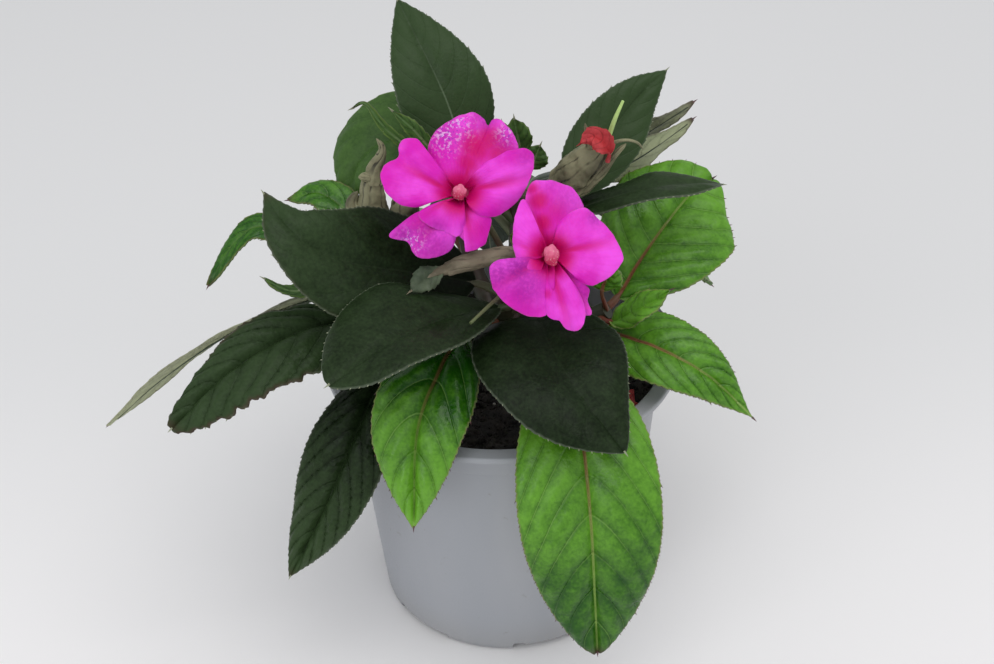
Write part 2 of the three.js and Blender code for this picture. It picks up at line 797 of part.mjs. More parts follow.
// Pot.
function potSolid() {
  const top = POT_HEIGHT;
  const collarFoot = top - POT_COLLAR_HEIGHT;
  const wallAt = (z) =>
    THREE.MathUtils.mapLinear(z, 0, collarFoot, POT_BASE_RADIUS, POT_WALL_TOP_RADIUS);
  const outline = [
    [0, 0],
    [POT_BASE_RADIUS - POT_HEEL_ROUND, 0],
    [POT_BASE_RADIUS - 0.3 * POT_HEEL_ROUND, 0.3 * POT_HEEL_ROUND],
    [wallAt(POT_HEEL_ROUND), POT_HEEL_ROUND],
    [POT_WALL_TOP_RADIUS, collarFoot],
    [POT_COLLAR_RADIUS - POT_COLLAR_DRAFT, collarFoot + POT_EDGE_ROUND],
    [POT_COLLAR_RADIUS, top - POT_LIP_THICKNESS],
    [POT_RIM_RADIUS, top - POT_LIP_THICKNESS],
    [POT_RIM_RADIUS, top - POT_EDGE_ROUND],
    [POT_RIM_RADIUS - POT_EDGE_ROUND, top],
    [POT_COLLAR_RADIUS - POT_WALL, top],
    [POT_WALL_TOP_RADIUS - POT_WALL, collarFoot],
    [wallAt(POT_FLOOR) - POT_WALL, POT_FLOOR],
    [0, POT_FLOOR],
  ];
  const profile = outline.map(([r, z]) => new THREE.Vector2(r, z));
  let pot = solidOf(new THREE.LatheGeometry(profile, POT_SIDES).rotateX(Math.PI / 2));
  for (let k = 0; k < FOOT_COUNT; k++) {
    const middle = FOOT_FIRST_GAP + (k * 360) / FOOT_COUNT;
    pot = pot.subtract(footGap(middle)).subtract(drainHole(middle));
    pot = pot.subtract(heelNotch(middle - NOTCH_TURN));
  }
  return pot;
}

// Degrees to the right of the front, as an angle round +Z from +X.
const fromFront = (degrees) => radians(degrees - 90);

// A gap between two feet, as a sector from the hub out past the wall.
function footGap(middle) {
  const half = FOOT_GAP_DEGREES / 2;
  const shape = new THREE.Shape();
  const outer = 1.3 * POT_BASE_RADIUS;
  shape.absarc(0, 0, outer, fromFront(middle - half), fromFront(middle + half), false);
  shape.absarc(0, 0, FOOT_HUB_RADIUS, fromFront(middle + half), fromFront(middle - half), true);
  const options = { depth: FOOT_GAP_HEIGHT + 1, bevelEnabled: false, curveSegments: 4 };
  return solidOf(new THREE.ExtrudeGeometry(shape, options).translate(0, 0, -1));
}

function drainHole(middle) {
  const hole = new THREE.CylinderGeometry(DRAIN_RADIUS, DRAIN_RADIUS, 2 * POT_FLOOR, 12);
  const angle = fromFront(middle);
  hole.rotateX(Math.PI / 2);
  hole.translate(Math.cos(angle) * DRAIN_CIRCLE, Math.sin(angle) * DRAIN_CIRCLE, POT_FLOOR / 2);
  return solidOf(hole);
}

function heelNotch(degrees) {
  const notch = new THREE.BoxGeometry(NOTCH_DEPTH, NOTCH_WIDTH, NOTCH_TOP - NOTCH_BOTTOM);
  const place = new THREE.Matrix4().makeRotationZ(fromFront(degrees));
  notch.translate(POT_BASE_RADIUS, 0, (NOTCH_TOP + NOTCH_BOTTOM) / 2).applyMatrix4(place);
  return solidOf(notch);
}

// Soil: fills the pot up to a lumpy top.
function soilTop(x, y) {
  const lumps = SOIL_WAVES.map(([share, alongX, alongY, phase]) => {
    return share * Math.sin(alongX * x + alongY * y + phase);
  });
  return SOIL_TOP + SOIL_LUMP * lumps.reduce((sum, lump) => sum + lump);
}

function soilSolid() {
  const collarFoot = POT_HEIGHT - POT_COLLAR_HEIGHT;
  const wallTop = POT_WALL_TOP_RADIUS - POT_WALL;
  const foot = POT_FLOOR + GAP;
  const wallAt = (z) =>
    THREE.MathUtils.mapLinear(z, 0, collarFoot, POT_BASE_RADIUS - POT_WALL, wallTop) - 2 * GAP;
  const points = [new THREE.Vector3(0, 0, foot), new THREE.Vector3(0, 0, soilTop(0, 0))];
  const triangles = [];
  const rings = [];
  const ring = (radius, height) => {
    const first = points.length;
    for (let j = 0; j < SOIL_SIDES; j++) {
      const turn = (j / SOIL_SIDES) * 2 * Math.PI;
      const x = Math.cos(turn) * radius;
      const y = Math.sin(turn) * radius;
      points.push(new THREE.Vector3(x, y, height(x, y)));
    }
    rings.push(first);
  };
  ring(wallAt(foot), () => foot);
  const topRadius = wallAt(SOIL_TOP - SOIL_LUMP);
  for (let k = SOIL_RINGS; k > 0; k--) ring((topRadius * k) / SOIL_RINGS, soilTop);
  for (let k = 0; k + 1 < rings.length; k++) {
    for (let j = 0; j < SOIL_SIDES; j++) {
      const next = (j + 1) % SOIL_SIDES;
      const [a, b] = [rings[k] + j, rings[k] + next];
      const [c, d] = [rings[k + 1] + next, rings[k + 1] + j];
      triangles.push([a, b, c], [a, c, d]);
    }
  }
  const last = rings[rings.length - 1];
  for (let j = 0; j < SOIL_SIDES; j++) {
    const next = (j + 1) % SOIL_SIDES;
    triangles.push([0, rings[0] + next, rings[0] + j], [1, last + j, last + next]);
  }
  return solidOf(indexed(points, triangles)).subtract(stemSolid(GAP));
}

// A pair of points on a petal at the share r of its length and v across it, from -1 to 1, with the
// petal lying along +X and its upper face to +Z.
function petalPair(petal, r, v) {
  const spread = Math.sin((r * Math.PI) / 2) ** 0.9;
  const notch = petal.notch * r * Math.exp(-((v / PETAL_NOTCH_WIDTH) ** 2));
  const reach = 1 - PETAL_CORNER * v ** 4 - PETAL_ARC * v * v - notch;
  const across = (petal.width / 2) * spread * Math.sin((v * Math.PI) / 2);
  const along = petal.length * r * reach;
  const height = PETAL_CUP * r * r * Math.abs(v) - PETAL_CURL * r ** 3 + petal.layer;
  const upper = new THREE.Vector3(along, across, height + PETAL_THICKNESS / 2);
  const lower = upper.clone().setZ(height - PETAL_THICKNESS / 2);
  return { upper, lower };
}

function petalSolid(petal) {
  const pairs = [];
  const triangles = [];
  for (let i = 0; i <= PETAL_ROWS; i++) {
    const r = THREE.MathUtils.lerp(PETAL_ROOT, 1, i / PETAL_ROWS);
    for (let j = 0; j <= PETAL_COLUMNS; j++) {
      pairs.push(petalPair(petal, r, (2 * j) / PETAL_COLUMNS - 1));
      if (i > 0 && j > 0) {
        const d = pairs.length - 1;
        const [a, b, c] = [d - PETAL_COLUMNS - 2, d - PETAL_COLUMNS - 1, d - 1];
        triangles.push([a, b, d], [a, d, c]);
      }
    }
  }
  const place = new THREE.Matrix4()
    .makeRotationZ(radians(petal.angle))
    .multiply(new THREE.Matrix4().makeRotationY(radians(petal.lean)));
  for (const { upper, lower } of pairs) {
    upper.applyMatrix4(place);
    lower.applyMatrix4(place);
  }
  return thickSheet(pairs, triangles);
}

// Local X is to the viewer's right, Y up along the face, and Z the way the bloom looks.
function bloomPlace(bloom) {
  const z = vector(bloom.face).normalize();
  const x = new THREE.Vector3(0, 0, 1).cross(z).normalize();
  const y = z.clone().cross(x);
  return new THREE.Matrix4().makeBasis(x, y, z).setPosition(vector(bloom.centre));
}

const placed = (solid, matrix) => solidOf(geometryOf(solid).applyMatrix4(matrix));

function bloomPetals(bloom) {
  const throat = new THREE.CylinderGeometry(THROAT_RADIUS, THROAT_RADIUS / 2, THROAT_DEPTH, 10);
  const solids = [solidOf(throat.rotateX(Math.PI / 2)), ...bloom.petals.map(petalSolid)];
  return placed(joined(solids), bloomPlace(bloom));
}

// The knob of joined anthers in front of the throat.
function bloomEye(bloom) {
  const eye = new THREE.SphereGeometry(EYE_RADIUS, 8, 6).rotateX(Math.PI / 2);
  const front = Math.max(...bloom.petals.map((petal) => petal.layer)) + PETAL_THICKNESS / 2;
  eye.scale(1, EYE_STRETCH, 1).translate(0, 0, front + GAP + EYE_RADIUS);
  return placed(solidOf(eye), bloomPlace(bloom));
}

function bloomStalk(bloom) {
  const stalk = tube(bloom.stalk, BLOOM_STALK_RADII, 6, 7);
  return stalk.add(tube(bloom.spur, SPUR_RADII, 5, 6));
}

// Assembly.
const plant = new THREE.Group();
plant.name = "potted_new_guinea_impatiens";

function place(name, solid, colour) {
  const material = new THREE.MeshStandardMaterial({ metalness: 0, ...COLOURS[colour] });
  const mesh = new THREE.Mesh(geometryOf(solid), material);
  mesh.name = name;
  plant.add(mesh);
}

const stemRoom = stemSolid(GAP);
place("pot", potSolid(), "pot");
place("soil", soilSolid(), "soil");
place("stems", stemSolid(0), "stem");
for (const leaf of LEAVES) {
  place(leaf.name, mainBody(leafSolid(leaf).subtract(stemRoom)), leaf.colour);
}
for (const { name, colour, blades = [], husks = [], fold = 0.3 } of CLUSTERS) {
  const solid = joined([
    ...blades.map((blade) => leafSolid({ ...SMALL_LEAF_SHAPE, fold, ...blade })),
    ...husks.map(({ points, radii }) => tube(points, radii, HUSK_SIDES, HUSK_ROWS)),
  ]);
  place(name, mainBody(solid.subtract(stemRoom)), colour);
}
for (const bloom of BLOOMS) {
  place(bloom.name + "_petals", bloomPetals(bloom), "petal");
  place(bloom.name + "_eye", bloomEye(bloom), "eye");
  place(bloom.name + "_stalk", mainBody(bloomStalk(bloom).subtract(stemRoom)), "spur");
}
place("faded_bloom_spur", tube(FADED_SPUR.points, FADED_SPUR.radii, 5, 4), "spur");

export default plant;
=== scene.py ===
import math

import bpy
import numpy as np
from mathutils import Matrix, Vector, noise


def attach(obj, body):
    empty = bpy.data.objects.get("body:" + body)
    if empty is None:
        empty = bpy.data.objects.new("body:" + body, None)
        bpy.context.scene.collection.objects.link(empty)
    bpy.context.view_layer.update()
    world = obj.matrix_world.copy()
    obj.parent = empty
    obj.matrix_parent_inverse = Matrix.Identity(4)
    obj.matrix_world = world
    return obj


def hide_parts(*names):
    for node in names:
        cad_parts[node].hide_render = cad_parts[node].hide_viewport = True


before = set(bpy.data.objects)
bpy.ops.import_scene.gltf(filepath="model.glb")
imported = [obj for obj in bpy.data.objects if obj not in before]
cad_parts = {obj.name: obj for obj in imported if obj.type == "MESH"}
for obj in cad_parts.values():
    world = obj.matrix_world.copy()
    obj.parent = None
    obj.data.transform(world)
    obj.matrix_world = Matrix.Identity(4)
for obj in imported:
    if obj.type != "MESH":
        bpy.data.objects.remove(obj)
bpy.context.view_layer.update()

# A potted New Guinea impatiens. Sizes are in millimetres until a mesh is made, which is in metres.
# +Z is up, and -Y is the side that the open blooms face.
MM = 0.001

# Camera: looking along +Y and down.
CAMERA_DOWN = 34.5
CAMERA_ROLL = -2.1
CAMERA_AWAY = 552
CAMERA_TARGET = (-1.6, 0, 114)
SENSOR_WIDTH = 36
CAMERA_FOCAL = 1500 / 994 * SENSOR_WIDTH

# Pot.
POT_HEIGHT = 107
RIM_RADIUS = 65
BASE_RADIUS = 49.8
LIP_OVERHANG, LIP_THICKNESS, BEAD_HEIGHT = 4.2, 1.6, 2.2
COLLAR_HEIGHT, COLLAR_DRAFT, COLLAR_STEP = 12, 1.5, 1.6
WALL = 1.2
FLOOR = 4.6
FOOT_GAPS = [-45 + 60 * k for k in range(6)]  # degrees to the right of the front
FOOT_GAP_DEGREES = 30
FOOT_GAP_HEIGHT = 3
FOOT_HUB_RADIUS = 14
DRAIN_RADIUS = 4
DRAIN_CIRCLE = 34
NOTCH_WIDTH, NOTCH_DEPTH, NOTCH_TURN = 4, 10, 12
NOTCH_FOOT, NOTCH_TOP = 0.8, 3.8
POT_SIDES, HOLE_SIDES, ARC_PLACES, CORNER_PLACES = 180, 28, 13, 6
CUT_BELOW = -1  # where a cutter starts, clear of the pot

# Soil.
SOIL_TOP = 96
SOIL_LUMP = 1.6
SOIL_WAVES = [(0.5, 0.21, 0.08, 0.6), (0.3, 0.43, -0.31, 1.1), (0.2, 0.52, 0.37, 1.6)]
SOIL_SECTORS, SOIL_RINGS = 150, 46
SOIL_SIDE_HEIGHTS = (90, 60, 30)
BRIM_GAP, SIDE_GAP, UNDER_GAP = 1.3, 0.4, 0.6
CLODS, CLOD_SIZE, PEBBLES, PEBBLE_SIZE = 1.1, 9, 0.7, 3
CRUMBS_A_SQUARE_METRE, CLODS_A_SQUARE_METRE, GRAINS_A_SQUARE_METRE = 190000.0, 34000.0, 2200.0
CRUMB_SEED = 4

# Leaves: name, colour, width, points of the midrib from the stem by the blade's foot to the tip,
# where the upper face looks at the foot and at the tip, and what differs from LEAF and from the
# shape in LEAF_KINDS.
LEAVES = [
    ("leaf_top", "dark", 33,
     [(7, 14, 152), (-8, 14, 172), (-17, 20, 201), (-32, 38, 229)],
     [(0.3, -0.8, 0.5), (0.1, -0.9, 0.4)],
     {"tone": (0.8, 1.05), "ribbing": 0.75, "veining": 0.35, "quilt": 0.3}),
    ("leaf_back_left", "middle", 42,
     [(8, 14, 144), (-8, 24, 160), (-30, 34, 176), (-47, 32, 173), (-56, 25, 157)],
     [(0, -0.5, 0.9), (-0.4, -0.5, 0.8)],
     {"tone": (0.3, 0.75), "ribbing": 0, "veining": 0.2, "tooth": 0.7, "ridge": 0}),
    ("leaf_small_curled", "middle", 4,
     [(7, 15, 164), (-14, 3, 176), (-35.5, 6, 194), (-43, 7, 204.5), (-48, 7, 203)],
     [(0, -0.8, 0.6), (-0.3, -0.8, 0.5)],
     {"tone": 0.6, "stalk": 1.3, "tooth": 0.3, "scorch": (1, 0)}),
    ("leaf_small_left", "bright", 15,
     [(-37, -7, 130), (-45, 8, 150), (-62, 20, 163), (-76, 24, 159)],
     [(0, -0.5, 0.9), (0, -0.5, 0.9)],
     {"tone": (0.2, 0.35), "stalk": 1.1, "ribbing": 0.1, "scorch": (0.6, 0.3), "quilt": 0.4}),
    ("leaf_arched_left", "bright", 10.5,
     [(-25, -5, 123), (-58, 10, 140), (-84, 24, 148), (-97, 22, 143.5), (-108, 16, 128)],
     [(0, -0.5, 0.9), (-0.6, -0.5, 0.6)],
     {"tone": (0.25, 0.0), "ribbing": 0.1, "taper": 0.8, "scorch": (1, 0), "quilt": 0.4}),
    # Its tone rises from foot to tip, painting sheen on the blade.
    ("leaf_left_upper", "dark", 42,
     [(3, -21, 143), (-8, -21, 149), (-30, -25, 157), (-52, -32, 167), (-67, -32, 179),
      (-77, -20, 187)],
     [(0, -0.6, 0.8), (0.5, -0.7, 0.5)],
     {"tone": (-0.15, 0.9), "ribbing": 0.05, "taper": 1.15, "scorch": (0.6, 0.2),
      "quilt": 0.3, "veining": 0.15}),
    ("leaf_left_lower", "dark", 29,
     [(-36, -10, 131), (-46, -20, 136), (-68, -35, 142), (-92, -50, 136), (-112, -58, 119)],
     [(0, -0.5, 0.9), (-0.2, -0.5, 0.9)],
     {"tone": (0.5, 0.8), "ribbing": 0.05, "quilt": 1.4, "veins": 8, "scorch": (0.7, 0.9),
      "ragged": (1.6, 0.8), "belly": 0.45, "taper": 0.6, "sides": (1.2, 0.78),
      "veining": 0.7}),
    ("leaf_far_left", "pale", 12,
     [(-41, -7, 134), (-62, -3, 135), (-93, -10, 127.5), (-121, -18, 113), (-144, -22, 94)],
     [(-0.45, 0.6, 0.6), (-0.45, 0.6, 0.6)],
     {"tone": (0.2, 0.9), "fold": 0.1, "droop": 0.1, "belly": 0.4, "taper": 0.3,
      "ribbing": 0.2}),
    ("leaf_front_left", "dark", 42,
     [(3, -20, 139), (0, -30, 144.5), (-16, -49, 154.5), (-36, -65, 156), (-55, -78, 149)],
     [(0, -0.2, 1), (0, -0.1, 1)],
     {"tone": (0.25, 0.45), "ribbing": 0.03, "belly": 0.95, "taper": 0.7,
      "sides": (0.68, 1.2), "veining": 0.12, "quilt": 0.2}),
    ("leaf_front_right", "dark", 53,
     [(3, -17, 136), (12, -29, 141), (15.5, -50, 142.5), (24, -69, 137), (38, -83, 122)],
     [(0, -0.3, 1), (0.1, -0.5, 0.9)],
     {"tone": (0.15, 0.3), "ribbing": 0.03, "belly": 0.5, "taper": 0.85, "sides": (0.88, 1),
      "quilt": 0.25, "veining": 0.12}),
    # Its tone is a painted shadow at the foot, under the leaves above, and painted sheen towards
    # the tip.
    ("leaf_front_middle", "bright", 33,
     [(1, -12, 129), (-13, -30, 135), (-22, -48, 131), (-29.5, -64, 118), (-32, -77, 88)],
     [(0, -0.3, 1), (-0.1, -0.8, 0.6)],
     {"tone": (-0.5, 1.2), "quilt": 1.7, "ribbing": 0.5, "veins": 6}),
    # Its tone rises from a dark foot to the tip, painting sheen on the blade.
    ("leaf_lower_left", "dark", 29,
     [(-20, -4, 120), (-38, -28, 123), (-51, -49, 109), (-64, -57, 82), (-79, -60, 52)],
     [(0, -0.5, 0.9), (-0.3, -0.9, 0.4)],
     {"tone": (-0.2, 1.2), "ribbing": 0.05, "quilt": 1.6, "scorch": (0.6, 0.1),
      "veining": 0.8}),
    # Its tone is painted light at the foot, where the leaf above shades it, and falls towards the
    # tip.
    ("leaf_front_low", "bright", 48,
     [(20, -5, 115), (22, -32, 124), (25, -66, 119), (27, -84, 95), (28, -90, 68),
      (29, -92, 41)],
     [(0, -0.3, 1), (0, -1, 0.3)],
     {"tone": (1.0, 0.05), "taper": 0.78, "scorch": (1, 0.05), "quilt": 1.3}),
    ("leaf_right_round", "bright", 52,
     [(33, -7, 123), (42, -3, 129), (50, 5, 138), (61, 17, 147), (72, 28, 154),
      (81, 35, 156)],
     [(-0.2, -0.6, 0.8), (0.1, -0.6, 0.8)],
     {"tone": (0.35, 0.75), "quilt": 1.3, "belly": 0.6, "taper": 0.4, "sides": (0.9, 1)}),
    ("leaf_right_upper", "dark", 19,
     [(8, 13, 143), (23, 4, 160), (50, 1, 171), (68, 4, 171), (80, 8, 168)],
     [(0, 0, 1), (0, 0, 1)],
     {"tone": (0.3, 0.75), "ribbing": 0.1, "taper": 0.8, "veining": 0.1, "quilt": 0.15}),
    ("leaf_right_small", "bright", 11,
     [(34, -8, 125), (39, -18, 129), (48, -25, 139.5), (58.5, -28, 148)],
     [(0, -0.6, 0.8), (0, -0.6, 0.8)],
     {"tone": 0.6, "stalk": 1.1, "ribbing": 0, "quilt": 0.6}),
    ("leaf_right_lower", "bright", 28,
     [(28, -6, 122), (36, -15, 124), (55, -30, 125), (72, -37, 117), (87, -42, 102)],
     [(0, -0.5, 0.9), (0.1, -0.6, 0.8)],
     {"tone": (0.4, 0.65), "quilt": 1.1, "belly": 0.6, "taper": 1.2}),
    ("leaf_top_right", "dark", 25,
     [(8, 14, 154), (24, 16, 161), (38, 26, 175), (51, 36, 188), (63, 42, 197)],
     [(0, -0.8, 0.6), (0.1, -0.8, 0.5)],
     {"tone": (0.95, 1.15), "ribbing": 0.3, "veining": 0.4}),
    ("leaf_pale_upper", "pale", 12,
     [(9, 15, 146), (32, 40, 160), (56, 49, 168), (76, 58, 176)],
     [(-0.4, 0.85, 0.3), (-0.4, 0.85, 0.3)],
     {"tone": (0.1, 0.4), "stalk": 1.1, "ribbing": 0.1, "scorch": (1, 0.2)}),
    ("leaf_pale_lower", "pale", 17,
     [(9, 14, 141), (34, 33, 155), (56, 43, 163), (75, 52, 172)],
     [(-0.4, 0.85, 0.3), (-0.4, 0.85, 0.3)],
     {"tone": (0.6, 0.9), "stalk": 1.1, "ribbing": 0.1, "scorch": (1, 0.1)}),
    ("leaf_rear_high", "dark", 40,
     [(8, 14, 150), (10, 28, 154), (14, 50, 150), (17, 70, 138), (19, 86, 116)],
     [(0, 0.2, 1), (0, 0.8, 0.6)],
     {}),
    ("leaf_rear_left", "bright", 40,
     [(-9, 25, 127), (-19, 42, 133), (-36, 57, 131), (-50, 69, 118), (-61, 79, 97)],
     [(0, 0.2, 1), (-0.3, 0.8, 0.6)],
     {}),
    ("leaf_rear_middle", "dark", 42,
     [(-12, 34, 134), (-11, 50, 137), (-7, 68, 131), (-4, 84, 114), (-3, 92, 92)],
     [(0, 0.3, 1), (0, 0.9, 0.4)],
     {}),
    ("leaf_rear_side_left", "dark", 36,
     [(-7, 18, 121), (-26, 30, 126), (-46, 40, 124), (-62, 46, 116), (-76, 50, 102)],
     [(0, 0.1, 1), (-0.5, 0.2, 0.8)],
     {}),
    ("leaf_rear_right", "dark", 37,
     [(24, 32, 129), (30, 48, 134), (41, 64, 131), (50, 76, 120), (57, 87, 102)],
     [(0, 0.2, 1), (0.3, 0.7, 0.7)],
     {}),
    ("leaf_rear_low", "bright", 36,
     [(15, 17, 118), (22, 38, 119), (27, 60, 114), (31, 76, 98), (34, 86, 76)],
     [(0, 0.2, 1), (0.2, 0.9, 0.4)],
     {}),
    ("leaf_rear_side_right", "bright", 32,
     [(18, 20, 120), (34, 22, 130), (52, 26, 134), (68, 30, 126), (82, 32, 110)],
     [(0, 0.1, 1), (0.5, 0.3, 0.8)],
     {}),
]

# Clusters of small or dried leaves: name, colour, fold, and width, midrib and faces of each blade.
CLUSTERS = [
    ("young_leaves_front", "bright", 0.3, [
        (9, [(5, -25, 152), (9, -21, 158), (15, -15, 166)], [(0, -0.6, 1), (0, -0.3, 1)]),
        (8, [(5, -25, 152), (7, -21, 161), (9, -17, 171)], [(0, -1, 0.3), (0, -1, 0.3)]),
    ]),
    ("young_leaves_back", "middle", 0.3, [
        (10, [(7, 15, 168), (9, 15, 178), (7, 14, 194)], [(0, -1, 0.2), (0, -1, 0.2)]),
        (10, [(7, 15, 168), (12, 14, 174), (16, 16, 182)], [(0, -0.9, 0.4), (0, -0.9, 0.4)]),
        (9, [(7, 15, 168), (5, 22, 177), (3, 30, 184)], [(0, -0.5, 0.8), (0, -0.3, 1)]),
        (6, [(7, 15, 168), (-18, 5, 185), (-28, 5, 196), (-34.5, 6, 202.5)],
         [(-0.3, -0.8, 0.5), (-0.3, -0.8, 0.5)]),
    ]),
    ("young_leaves_right", "bright", 0.3, [
        (12, [(38, -9, 128), (36, -11, 138), (40, -14, 150)], [(0, -0.9, 0.4), (0, -0.9, 0.4)]),
    ]),
    ("young_leaves_left", "middle", 0.3, [
        (5, [(-46, -9, 138), (-60, -10, 142), (-74, -9, 141), (-83, -8, 146)],
         [(0, -0.5, 1), (0, -0.5, 1)]),
        (5, [(-46, -9, 138), (-56, -10, 144), (-70, -10, 146)],
         [(0, -0.6, 0.8), (0, -0.6, 0.8)]),
    ]),
    ("curled_leaf", "rolled", 0.3, [
        (8.5, [(-10, -32, 165), (-18, -35, 164), (-24.5, -38.5, 162.5), (-29.5, -42.5, 160.5)],
         [(0.3, -0.6, 0.8), (0.3, -0.6, 0.8)]),
    ]),
    ("withered_leaves", "dried", 0.3, []),
    ("faded_bloom", "dried", 0.3, []),
    ("faded_bloom_petals", "faded petal", 0.9, [
        (8, [(38.2, -1.5, 183.8), (38.6, -2, 187.4), (36.5, -1.5, 191.2), (33, -1, 193.2),
             (28.8, -0.5, 190.3)],
         [(0, -0.9, 0.4), (0, -0.9, 0.4)]),
    ]),
    ("fallen_petal", "faded petal", 0.5, [
        (9, [(38, -22, 100), (40, -24, 100), (44, -26.5, 101), (48, -28, 100)],
         [(0, 0, 1), (0, 0, 1)]),
    ]),
]

# Husks, which are papery tubes in those clusters: points, radii, lengthwise folds, how deep they
# are and how much each twists along its length.
HUSKS = {
    "curled_leaf": [
        ([(4, -25, 149.5), (1, -29, 158), (5, -30, 166), (-6, -31, 165), (-19, -35, 163.5)],
         [1.1, 1.3, 2.5, 3.1, 2.2], 5, 0.1, 0.5),
        ([(-16, -34, 164), (-20.5, -36, 163.4), (-24.5, -38, 162.2)],
         [2.2, 1.6, 0.5], 4, 0.12, 0.2),
    ],
    "withered_leaves": [
        ([(-43, -7, 136), (-41, -2, 150), (-42, 0, 162), (-43, 0, 172), (-42, 0, 181)],
         [1.1, 1.6, 4, 5, 3.6], 7, 0.08, 0.2),
        ([(-42, 0, 177), (-41, 0, 184), (-38.5, 0, 189), (-38.3, 0, 192), (-39.9, 0, 195)],
         [4.2, 3.2, 2.4, 1.2, 0.5], 5, 0.14, 0.3),
        ([(-43, 0, 158), (-48, 0.5, 164), (-50, 1, 170), (-48, 1, 174.5)],
         [3, 4, 3, 0.8], 6, 0.16, 0.2),
        ([(-41, -1, 180), (-44.5, -2, 181.5), (-47, -2, 181.5)], [1.6, 1.8, 0.9], 5, 0.3, 0.4),
        ([(-42, -4, 142), (-37, -2, 152), (-33.5, 0, 161), (-32, 1, 170), (-33, 2, 177)],
         [1.2, 4, 5.5, 5, 2], 6, 0.08, 0.3),
    ],
    "faded_bloom": [
        ([(7, 14, 164), (14, 10, 166), (21, 7, 168.5), (26, 6, 173.5), (30.5, 5, 179),
          (34.5, 4.5, 184), (38, 4, 188)], [1.2, 2, 4.8, 6.6, 6.9, 5.6, 2.4], 8, 0.07, 0.18),
        ([(24, 4, 167), (31, 2, 172.5), (37, 1.5, 179.3), (42, 2, 185.5), (44.8, 2.5, 188.3)],
         [1.2, 2.1, 2, 1.2, 0.6], 5, 0.22, 0.5),
        ([(22, 2, 165), (28.6, 0.5, 171), (34, 0, 177.5), (38.6, 1, 184), (41, 2, 188)],
         [0.5, 0.8, 0.7, 0.6, 0.4], 3, 0.3, 0.5),
        ([(37, 3.5, 187), (42, 2.5, 189.3), (45.5, 2, 189.8), (48.8, 2, 188.6), (50.6, 2, 186)],
         [1.2, 0.7, 0.5, 0.45, 0.3], 3, 0.2, 0.6),
        ([(33, 3.5, 186), (31.4, 1.5, 193), (30.6, 1, 197.4)], [1.8, 1.2, 0.4], 4, 0.25, 0.3),
    ],
}

# Stems: points and radii.
STEMS = [
    ([(0, 0, 70), (0, 1, 92), (1, 0, 114)], [5, 5.2, 5]),
    ([(1, 0, 108), (0, -6, 120), (1, -14, 132), (4, -25, 151)], [4.6, 4, 3.8, 3.2]),
    ([(1, 0, 110), (-10, -2, 116), (-26, -5, 124), (-46, -9, 138)], [4.4, 3.8, 3.5, 3.2]),
    ([(1, 0, 108), (12, -3, 112), (24, -5, 118), (38, -9, 128)], [4.4, 3.8, 3.5, 3.2]),
    ([(1, 0, 110), (4, 8, 124), (8, 14, 146), (7, 15, 168)], [4.6, 4, 3.8, 3.2]),
    ([(1, 0, 110), (-4, 12, 118), (-10, 26, 128), (-12, 38, 138)], [4.2, 3.8, 3.4, 3]),
    ([(1, 0, 108), (10, 10, 114), (20, 24, 122), (26, 36, 132)], [4.2, 3.8, 3.4, 3]),
]

# A leaf, where its row or its kind doesn't say otherwise: where it is widest (belly against
# taper), how its halves fold up and droop, the stalk's radius, side veins, how high the blade
# bulges between them, small puckers, how far it is crumpled, the length and spacing of its teeth,
# the tone from dark 0 to bright 1 (or at the foot and at the tip), shares of the width on the left
# and the right as seen from the foot, how much of the midrib's colour and of the veins shows, how
# far the midrib stands out, scorching at the tip and the edge, and how torn the left and right
# edges are.
LEAF = {"belly": 0.75, "taper": 1, "fold": 0.3, "droop": 0.3, "stalk": 1.5, "veins": 9,
        "quilt": 0.45, "puckers": 0.14, "wilt": 0, "tooth": 1.5, "tooth_gap": 4.6, "tone": 0.5,
        "sides": (1, 1), "ribbing": 1, "veining": 1, "ridge": 1, "scorch": (0, 0),
        "ragged": (0, 0)}
YOUNG_LEAF = {"stalk": 0.7, "tooth": 0.8, "tooth_gap": 3}
EDGE_WAVE = 0.8
BLADE_THICKNESS = 0.5
VEIN_SWEEP = 0.3
